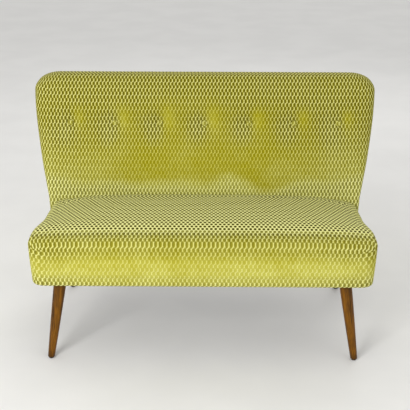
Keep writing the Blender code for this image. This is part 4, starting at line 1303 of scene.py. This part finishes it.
@dataclass
class BackCover(Cover):
    """The back's cover: over the inside back and its rolled edges, round to the lip behind."""

    form: BackForm
    rear_roll: float = 0.012
    lip: float = 0.016
    cloth: float = 0.0022
    spacing: float = 0.0052
    roll_steps: int = 9
    side_steps: int = 12
    turn_steps: int = 4
    lip_steps: int = 3
    corner_steps: int = 10
    # Painted light and shade of the velvet: painted sheen along the foot, at the lower sides and in a halo
    # below and left of each button, a calmer patch with less painted shade above and right of it, darker gold
    # in the middle; the deep values set the painted shade in the pile's hollows.
    drift: float = 0.05
    drift_scale: float = 6.0
    deepest: float = 0.57
    foot_shallow: float = 0.12
    foot: Band = Band(0.445, 0.07)
    sides: Band = Band(0.12, 0.46)
    low: Band = Band(0.50, 0.22)
    head: Band = Band(0.73, 0.09)
    halo: Patch = Patch(-0.024, -0.012, 0.75, 0.038)
    calm: Patch = Patch(0.030, 0.020, 0.65, 0.026)
    light: PaintedLightShares = PaintedLightShares(0.08, 0.92, 0.14, 0.22, 0.05, 0.04, 0.26, 0.12)
    deep: PaintedLightShares = PaintedLightShares(0.36, 0.22, -0.16, 0.0, 0.16, 0.20, 0.30, -0.26)
    rear_hold: Band = Band(-0.05, 0.03)
    foot_hold: Band = Band(0.0, 0.03)
    button_hold: Band = Band(0.008, 0.014)
    finish: Velvet = Velvet(period=0.01315, row=0.0134, sheen=0.10)

    piece = "back_velvet"
    measured_column = 8

    def lines(self) -> tuple[list[Column], list[Row]]:
        """Returns the grid's columns and rows."""
        return self.form.lines(self.spacing, self.corner_steps)

    def inside(self) -> Vector:
        """Returns a point inside the back."""
        level = self.form.button_level
        return Vector((0, FRONT_Y + self.form.outside(level), level))

    def point(self, index: Index) -> Vector:
        """Returns the place of a grid point."""
        form = self.form
        column, row = self.sheet.columns[index[0]], self.sheet.rows[index[1]]
        angle, share, turn, lip = self.stages(index[2])
        roll = form.edge_roll(row[0])
        inset = roll * (1 - math.sin(angle)) + self.rear_roll * (1 - math.cos(turn)) + lip
        x, level = form.placed(column, row, inset)
        face = form.face(x, level) + roll * (1 - math.cos(angle))
        rear = form.outside(level) - self.rear_roll * (1 - math.sin(turn))
        return Vector((x, FRONT_Y + blend(face, rear, share), level))

    def flat(self, index: Index, middle: Sequence[float]) -> tuple[float, float]:
        """Returns the place of a point on the flat cloth, which is one piece."""
        out, up = self.spread(index)
        return self.places[(index[0], index[1], 0)].x + out, up - self.runs[index[1]]

    def nap(self, place: Vector, index: Index) -> tuple[float, float]:
        """Painted light and shade of the velvet at a point: darker gold in the middle, painted sheen along
        the foot, painted patches by the buttons.

        Args:
            place: The point's place.
            index: The point; not used.

        Returns:
            How much light and sheen is painted on the pile and how much shade into its hollows, from 0 to 1.
        """
        scale = self.drift_scale
        drift = self.drift * noise.noise(Vector((place.x * scale, place.z * scale, 3.0)))
        foot = 1 - self.foot.at(place.z + drift)
        sides = self.sides.at(abs(place.x + drift))
        low = 1 - self.low.at(place.z)
        head = self.head.at(place.z + drift)
        gaps = self.form.from_buttons(place.x, place.z)
        halo = sum(self.halo.at(*gap) for gap in gaps)
        calm = sum(self.calm.at(*gap) for gap in gaps)
        light, deep = (
            add.plain
            + add.foot * foot
            + add.low * low
            + add.low_sides * sides * low
            + add.sides * sides
            + add.head * head
            + add.halo * halo
            + add.calm * calm
            for add in (self.light, self.deep)
        )
        return light, min(deep, self.deepest - self.foot_shallow * foot)

    def held(self, place: Vector) -> float:
        """Returns how firmly the cloth is held at a place: behind, at the foot and at each button."""
        rear = self.rear_hold.at(place.y - FRONT_Y - self.form.outside(place.z))
        foot = 1 - self.foot_hold.at(place.z - self.form.junction)
        gap = min(math.hypot(*offset) for offset in self.form.from_buttons(place.x, place.z))
        return max(rear, foot, 1 - self.button_hold.at(gap))

    def dress(self, cover: bpy.types.Object) -> None:
        """Gives the cover its velvet and its place on the settee."""
        bind(cover, Slot.VELVET, self.finish.material("back velvet"), "back_cover")


@dataclass
class OutsideBack:
    """The covered board behind the back, sewn to the cover's lip."""

    form: BackForm
    inset: float = 0.0285
    thickness: float = 0.003
    edge: float = 0.0022
    spacing: float = 0.012
    corner_steps: int = 8
    edge_steps: int = 4
    # Painted light and painted hollow shade, the same all over the board.
    nap: tuple[float, float] = (0.35, 0.35)
    finish: Velvet = Velvet(period=0.0135, row=0.0136)

    def point(self, sheet: Sheet, index: Index) -> Vector:
        """Returns the place of a grid point."""
        angle = min(index[2] / self.edge_steps, 1) * QUARTER
        inset = self.inset + self.edge * (1 - math.sin(angle))
        x, level = self.form.placed(sheet.columns[index[0]], sheet.rows[index[1]], inset)
        deep = self.thickness if index[2] > self.edge_steps else self.edge * (1 - math.cos(angle))
        return Vector((x, FRONT_Y + self.form.outside(level) - deep, level))

    def build(self) -> bpy.types.Object:
        """Builds the board in its cloth.

        Returns:
            The board.
        """
        columns, rows = self.form.lines(self.spacing, self.corner_steps)
        sheet = Sheet(columns, rows, self.edge_steps + 1)
        places = sheet.place(lambda index: self.point(sheet, index))
        sheet.map_cloth(lambda index, _: (-places[index].x, places[index].z))
        sheet.face_out(Vector((0, FRONT_Y, self.form.button_level)))
        sheet.paint_light_and_shade(lambda *_: self.nap)
        boundary = [edge for edge in sheet.bm.edges if edge.is_boundary]
        bmesh.ops.holes_fill(sheet.bm, edges=boundary)
        bmesh.ops.recalc_face_normals(sheet.bm, faces=sheet.bm.faces)
        return publish(sheet.bm, "outside_back_velvet", 50)

    def dress(self, board: bpy.types.Object) -> None:
        """Gives the board its velvet and its place on the settee."""
        bind(board, Slot.VELVET, self.finish.material("outside velvet"), "outside_back_panel")


# Turned pieces


def turned(profile: Iterable[tuple[float, float]], segments: int) -> bmesh.types.BMesh:
    """A piece turned about Z.

    Args:
        profile: Radius and height of each point of its outline.
        segments: How many flat sides the turned piece has.

    Returns:
        The piece.
    """
    bm = bmesh.new()
    points = [bm.verts.new((radius, 0, height)) for radius, height in profile]
    geom = points + [bm.edges.new(pair) for pair in zip(points, points[1:])]
    whole = {"cent": (0, 0, 0), "axis": (0, 0, 1), "angle": math.tau}
    bmesh.ops.spin(bm, geom=geom, steps=segments, use_merge=True, **whole)
    bmesh.ops.remove_doubles(bm, verts=bm.verts, dist=WELD)
    bmesh.ops.recalc_face_normals(bm, faces=bm.faces)
    return bm


def rounded(radius: float, level: float, edge: float, turns: Iterable[float]) -> list[tuple[float, float]]:
    """Returns outline points over a rounded edge, at shares of a quarter turn up from its outermost point."""
    angles = [turn * QUARTER for turn in turns]
    return [(radius - edge + edge * math.cos(angle), level + edge * math.sin(angle)) for angle in angles]


@dataclass
class Buttons:
    """The row of buttons covered in the same cloth."""

    form: BackForm
    radius: float = 0.011
    thickness: float = 0.0065
    edge: float = 0.0018
    fullness: float = 0.8
    gather: float = 0.00018
    gathers: int = 11
    margin: float = 0.001
    segments: int = 40
    rings: int = 8
    cloth_step: tuple[float, float] = (0.031, 0.017)
    # Painted light and painted hollow shade, the same all over each button.
    nap: tuple[float, float] = (0.45, 0.35)
    finish: Velvet = Velvet(period=0.0125, row=0.0125, relief_depth=0.0011)

    def profile(self) -> list[tuple[float, float]]:
        """Returns the outline of a button, from the middle of its flat rear to the middle of its dome."""
        radius, edge = self.radius, self.edge
        points = [(0.0, 0.0), (radius * 0.7, 0.0), (radius - edge * 0.6, edge * 0.15), (radius, edge * 0.7)]
        for ring in range(1, self.rings):
            turn = ring / self.rings * QUARTER
            height = edge + (self.thickness - edge) * math.sin(turn)
            points.append((radius * math.cos(turn) ** self.fullness, height))
        return points + [(0.0, self.thickness)]

    def build_one(self, number: int, middle: Vector) -> bpy.types.Object:
        """Builds one button.

        Args:
            number: Its place in the row, from 1.
            middle: The middle of its box.

        Returns:
            The button.
        """
        bm = turned(self.profile(), self.segments)
        for vertex in bm.verts:
            x, y, z = vertex.co
            rim = eased(math.hypot(x, y) / self.radius * 1.6 - 0.6)
            if self.margin < z < self.thickness - self.margin:
                vertex.co.z += self.gather * rim * math.cos(self.gathers * math.atan2(y, x) + number)
        cloth = bm.loops.layers.uv.new("cloth")
        nap = bm.verts.layers.float.new("nap")
        deep = bm.verts.layers.float.new("deep")
        across, along = (number * step for step in self.cloth_step)
        for face in bm.faces:
            for loop in face.loops:
                loop[cloth].uv = (loop.vert.co.x + across, loop.vert.co.y + along)
        for vertex in bm.verts:
            vertex[nap], vertex[deep] = self.nap
        tilt = Matrix.Rotation(QUARTER - math.radians(self.form.recline), 4, "X")
        bmesh.ops.transform(bm, matrix=tilt, verts=bm.verts)
        low, high = (Vector([pick(v.co[axis] for v in bm.verts) for axis in range(3)]) for pick in (min, max))
        bmesh.ops.translate(bm, verts=bm.verts, vec=middle - (low + high) / 2)
        return publish(bm, f"velvet_button_{number}")

    def build(self) -> list[bpy.types.Object]:
        """Returns all the buttons, from left to right."""
        numbers = range(1, self.form.buttons + 1)
        return [self.build_one(number, middle_of(f"back_button_{number}")) for number in numbers]

    def dress(self, buttons: Iterable[bpy.types.Object]) -> None:
        """Gives the buttons their velvet and their places on the settee."""
        material = self.finish.material("button velvet")
        for number, button in enumerate(buttons, 1):
            bind(button, Slot.VELVET, material, f"back_button_{number}")


@dataclass
class Legs:
    """Turned and tapered legs in lacquered wood, each on a dark glide."""

    top_radius: float = 0.022
    foot_radius: float = 0.012
    swell: float = 0.0006
    chamfer: float = 0.0015
    top: float = 0.2813
    foot: float = 0.0053
    bore: float = 0.0043
    bore_depth: float = 0.0353
    glide_radius: float = 0.009
    glide_height: float = 0.005
    glide_rounding: float = 0.0016
    segments: int = 64
    corners: tuple[str, ...] = ("front_left", "front_right", "rear_left", "rear_right")

    def profile(self) -> list[tuple[float, float]]:
        """Returns the outline of a leg, from the end of its bore round to the middle of its foot."""
        edge, bore_end = self.chamfer, self.top - self.bore_depth
        points = [(0, bore_end), (self.bore, bore_end), (self.bore, self.top)]
        points += rounded(self.top_radius, self.top - edge, edge, (1, 0.5, 0))
        for share in (0.1, 0.25, 0.5, 0.75, 0.9):
            radius = blend(self.top_radius, self.foot_radius, share) + self.swell * math.sin(math.pi * share)
            points.append((radius, blend(self.top - edge, self.foot + edge, share)))
        points += rounded(self.foot_radius, self.foot + edge, edge, (0, -0.5, -1))
        return points + [(0, self.foot)]

    def build_leg(self, corner: str) -> bpy.types.Object:
        """Builds one leg between the middles of its top and of its glide.

        Args:
            corner: Which leg.

        Returns:
            The leg.
        """
        low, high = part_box(f"leg_{corner}")
        ground = middle_of(f"leg_glide_{corner}")
        side = 1 if ground.x > 0 else -1
        ahead = 1 if "rear" in corner else -1
        x = (low.x if side > 0 else high.x) + side * self.top_radius
        y = (low.y if ahead > 0 else high.y) + ahead * self.top_radius
        bm = turned(self.profile(), self.segments)
        grain = bm.verts.layers.float_vector.new("grain")
        for vertex in bm.verts:
            vertex[grain] = vertex.co + Vector((side, ahead, 0))
        height = self.top - self.foot
        lean = Matrix.Identity(4)
        lean[0][2] = (x - ground.x) / height
        lean[1][2] = (y - ground.y) / height
        shift = Matrix.Translation((0, 0, -self.top))
        bmesh.ops.transform(bm, matrix=Matrix.Translation((x, y, self.top)) @ lean @ shift, verts=bm.verts)
        return publish(bm, f"turned_leg_{corner}", 50)

    def build_glide(self, corner: str) -> bpy.types.Object:
        """Builds the glide under one leg.

        Args:
            corner: Which leg.

        Returns:
            The glide.
        """
        rounding = self.glide_rounding
        profile = [(0, self.glide_height), (self.glide_radius, self.glide_height)]
        profile += rounded(self.glide_radius, rounding, rounding, (0, -0.33, -0.66, -1))
        bm = turned(profile + [(0, 0)], self.segments)
        middle = middle_of(f"leg_glide_{corner}")
        bmesh.ops.translate(bm, verts=bm.verts, vec=(middle.x, middle.y, 0))
        return publish(bm, f"nail_glide_{corner}", 40)

    def build(self) -> None:
        """Builds and dresses the four legs and their glides."""
        wood = Timber(
            dark=tone(40, 21, 1),
            light=tone(138, 88, 10),
            streaks=0.6,
            follows="grain",
            roughness=0.42,
            gloss=0.12,
            coat=0.08,
            coat_roughness=0.2,
            darkened_feet=True,
        ).material("lacquered wood")
        nickel = Metal(tone(70, 62, 54), tone(46, 40, 36), 0.38).material("dark nickel")
        for corner in self.corners:
            bind(self.build_leg(corner), Slot.LACQUER, wood, f"leg_{corner}")
            bind(self.build_glide(corner), Slot.NICKEL, nickel, f"leg_glide_{corner}")


# The frame and the fillings, which keep their solids


def dress_inside() -> None:
    """Gives each shown node of the frame, springs, cloths and fillings the material of its slot."""
    finishes = {
        Slot.BEECH: Timber(tone(176, 134, 88), tone(214, 178, 132), 0.62, turn=(0, QUARTER, 0)),
        Slot.FOAM: Foam(),
        Slot.HESSIAN: Woven(0.0024, tone(176, 148, 102), tone(92, 70, 42)),
        Slot.WEBBING: Woven(0.0016, tone(128, 104, 70), tone(74, 58, 38), 0.4),
        Slot.LINING: Woven(0.0009, tone(44, 42, 40), tone(24, 23, 22), 0.4),
        Slot.TWINE: Woven(0.0007, tone(208, 194, 154), tone(150, 134, 98), 0.5),
        Slot.SPRING: Metal(tone(96, 98, 102), tone(66, 62, 58), 0.42),
        Slot.ZINC: Metal(tone(186, 188, 192), tone(150, 150, 148), 0.34),
    }
    made = {slot: finish.material(slot.value.replace("_", " ")) for slot, finish in finishes.items()}
    slots = {part["node"]: Slot(part["material_slot"]) for part in frame["record"]["subparts"]}
    for node, obj in sorted(frame["nodes"].items()):
        if obj.hide_render or slots[node] not in made:
            continue
        obj.data.materials.clear()
        obj.data.materials.append(made[slots[node]])
        log.info("%s dressed in %s", node, slots[node].value)


# The studio


@dataclass(frozen=True)
class Lamp:
    """A soft square lamp that points at the settee."""

    name: str
    place: tuple[float, float, float]
    aim: tuple[float, float, float]
    size: float
    power: float

    def hang(self) -> None:
        """Hangs the lamp."""
        data = bpy.data.lights.new(self.name, "AREA")
        data.shape = "SQUARE"
        data.size = self.size
        data.energy = self.power
        lamp = bpy.data.objects.new(self.name, data)
        lamp.location = self.place
        lamp.rotation_euler = (Vector(self.aim) - Vector(self.place)).to_track_quat("-Z", "Y").to_euler()
        bpy.context.scene.collection.objects.link(lamp)


@dataclass
class Studio:
    """Pale floor, soft light and the camera at the photograph's view."""

    camera_place: tuple[float, float, float] = (0.040, -2.865, 1.7355)
    pitch: float = 21.94
    yaw: float = 0.63
    roll: float = 0.09
    lens: float = 84.05
    sensor: float = 36.0
    floor_size: float = 60.0
    floor_tone: Tone = tone(238, 237, 234)
    world_tone: Tone = tone(244, 244, 244)
    world_strength: float = 0.76
    lamps: tuple[Lamp, ...] = (
        Lamp("key", (-1.7, -3.1, 2.1), (0, 0, 0.45), 1.5, 80),
        Lamp("fill", (2.8, -2.4, 1.8), (0, 0, 0.45), 2.6, 12),
        Lamp("rear", (0.6, 2.8, 2.6), (0, 0, 0.5), 2.4, 20),
    )

    def floor(self) -> None:
        """Lays the floor."""
        bm = bmesh.new()
        bmesh.ops.create_grid(bm, x_segments=1, y_segments=1, size=self.floor_size / 2)
        plane = publish(bm, "studio_floor")
        plane.data.materials.append(Floor(self.floor_tone).material("studio floor"))

    def world(self) -> None:
        """Fills the room with level light, which looks brighter than it lights."""
        world = bpy.data.worlds.new("studio")
        bpy.context.scene.world = world
        world.use_nodes = True
        g = Graph(world.node_tree)
        path = g.add("ShaderNodeLightPath").outputs
        seen = g.math("MAXIMUM", path["Is Camera Ray"], path["Is Glossy Ray"])
        seen = g.math("MAXIMUM", seen, path["Is Transmission Ray"])
        strength = g.math("MULTIPLY_ADD", seen, 1.0 - self.world_strength, self.world_strength)
        g.feed(world.node_tree.nodes["Background"], {"Color": self.world_tone, "Strength": strength})

    def camera(self) -> None:
        """Sets up the camera."""
        data = bpy.data.cameras.new("camera")
        data.sensor_width = self.sensor
        data.lens = self.lens
        camera = bpy.data.objects.new("camera", data)
        camera.location = Vector(self.camera_place) + Vector((0, FRONT_Y, 0))
        view = Matrix.Identity(3)
        for angle, axis in ((self.yaw, "Z"), (90 - self.pitch, "X"), (self.roll, "Z")):
            view = view @ Matrix.Rotation(math.radians(angle), 3, axis)
        camera.rotation_euler = view.to_euler()
        bpy.context.scene.collection.objects.link(camera)
        bpy.context.scene.camera = camera

    def build(self) -> None:
        """Builds the whole studio."""
        self.floor()
        self.world()
        for lamp in self.lamps:
            lamp.hang()
        self.camera()
        bpy.context.scene.view_settings.view_transform = "Standard"


def main() -> None:
    """Builds the settee's pieces in order and the studio round them."""
    logging.basicConfig(level=logging.INFO, format="%(name)s: %(message)s")
    form = BackForm()
    for piece in (SeatCover(), BackCover(form), OutsideBack(form), Buttons(form)):
        piece.dress(piece.build())
    Legs().build()
    dress_inside()
    Studio().build()


if __name__ == "__main__":
    main()
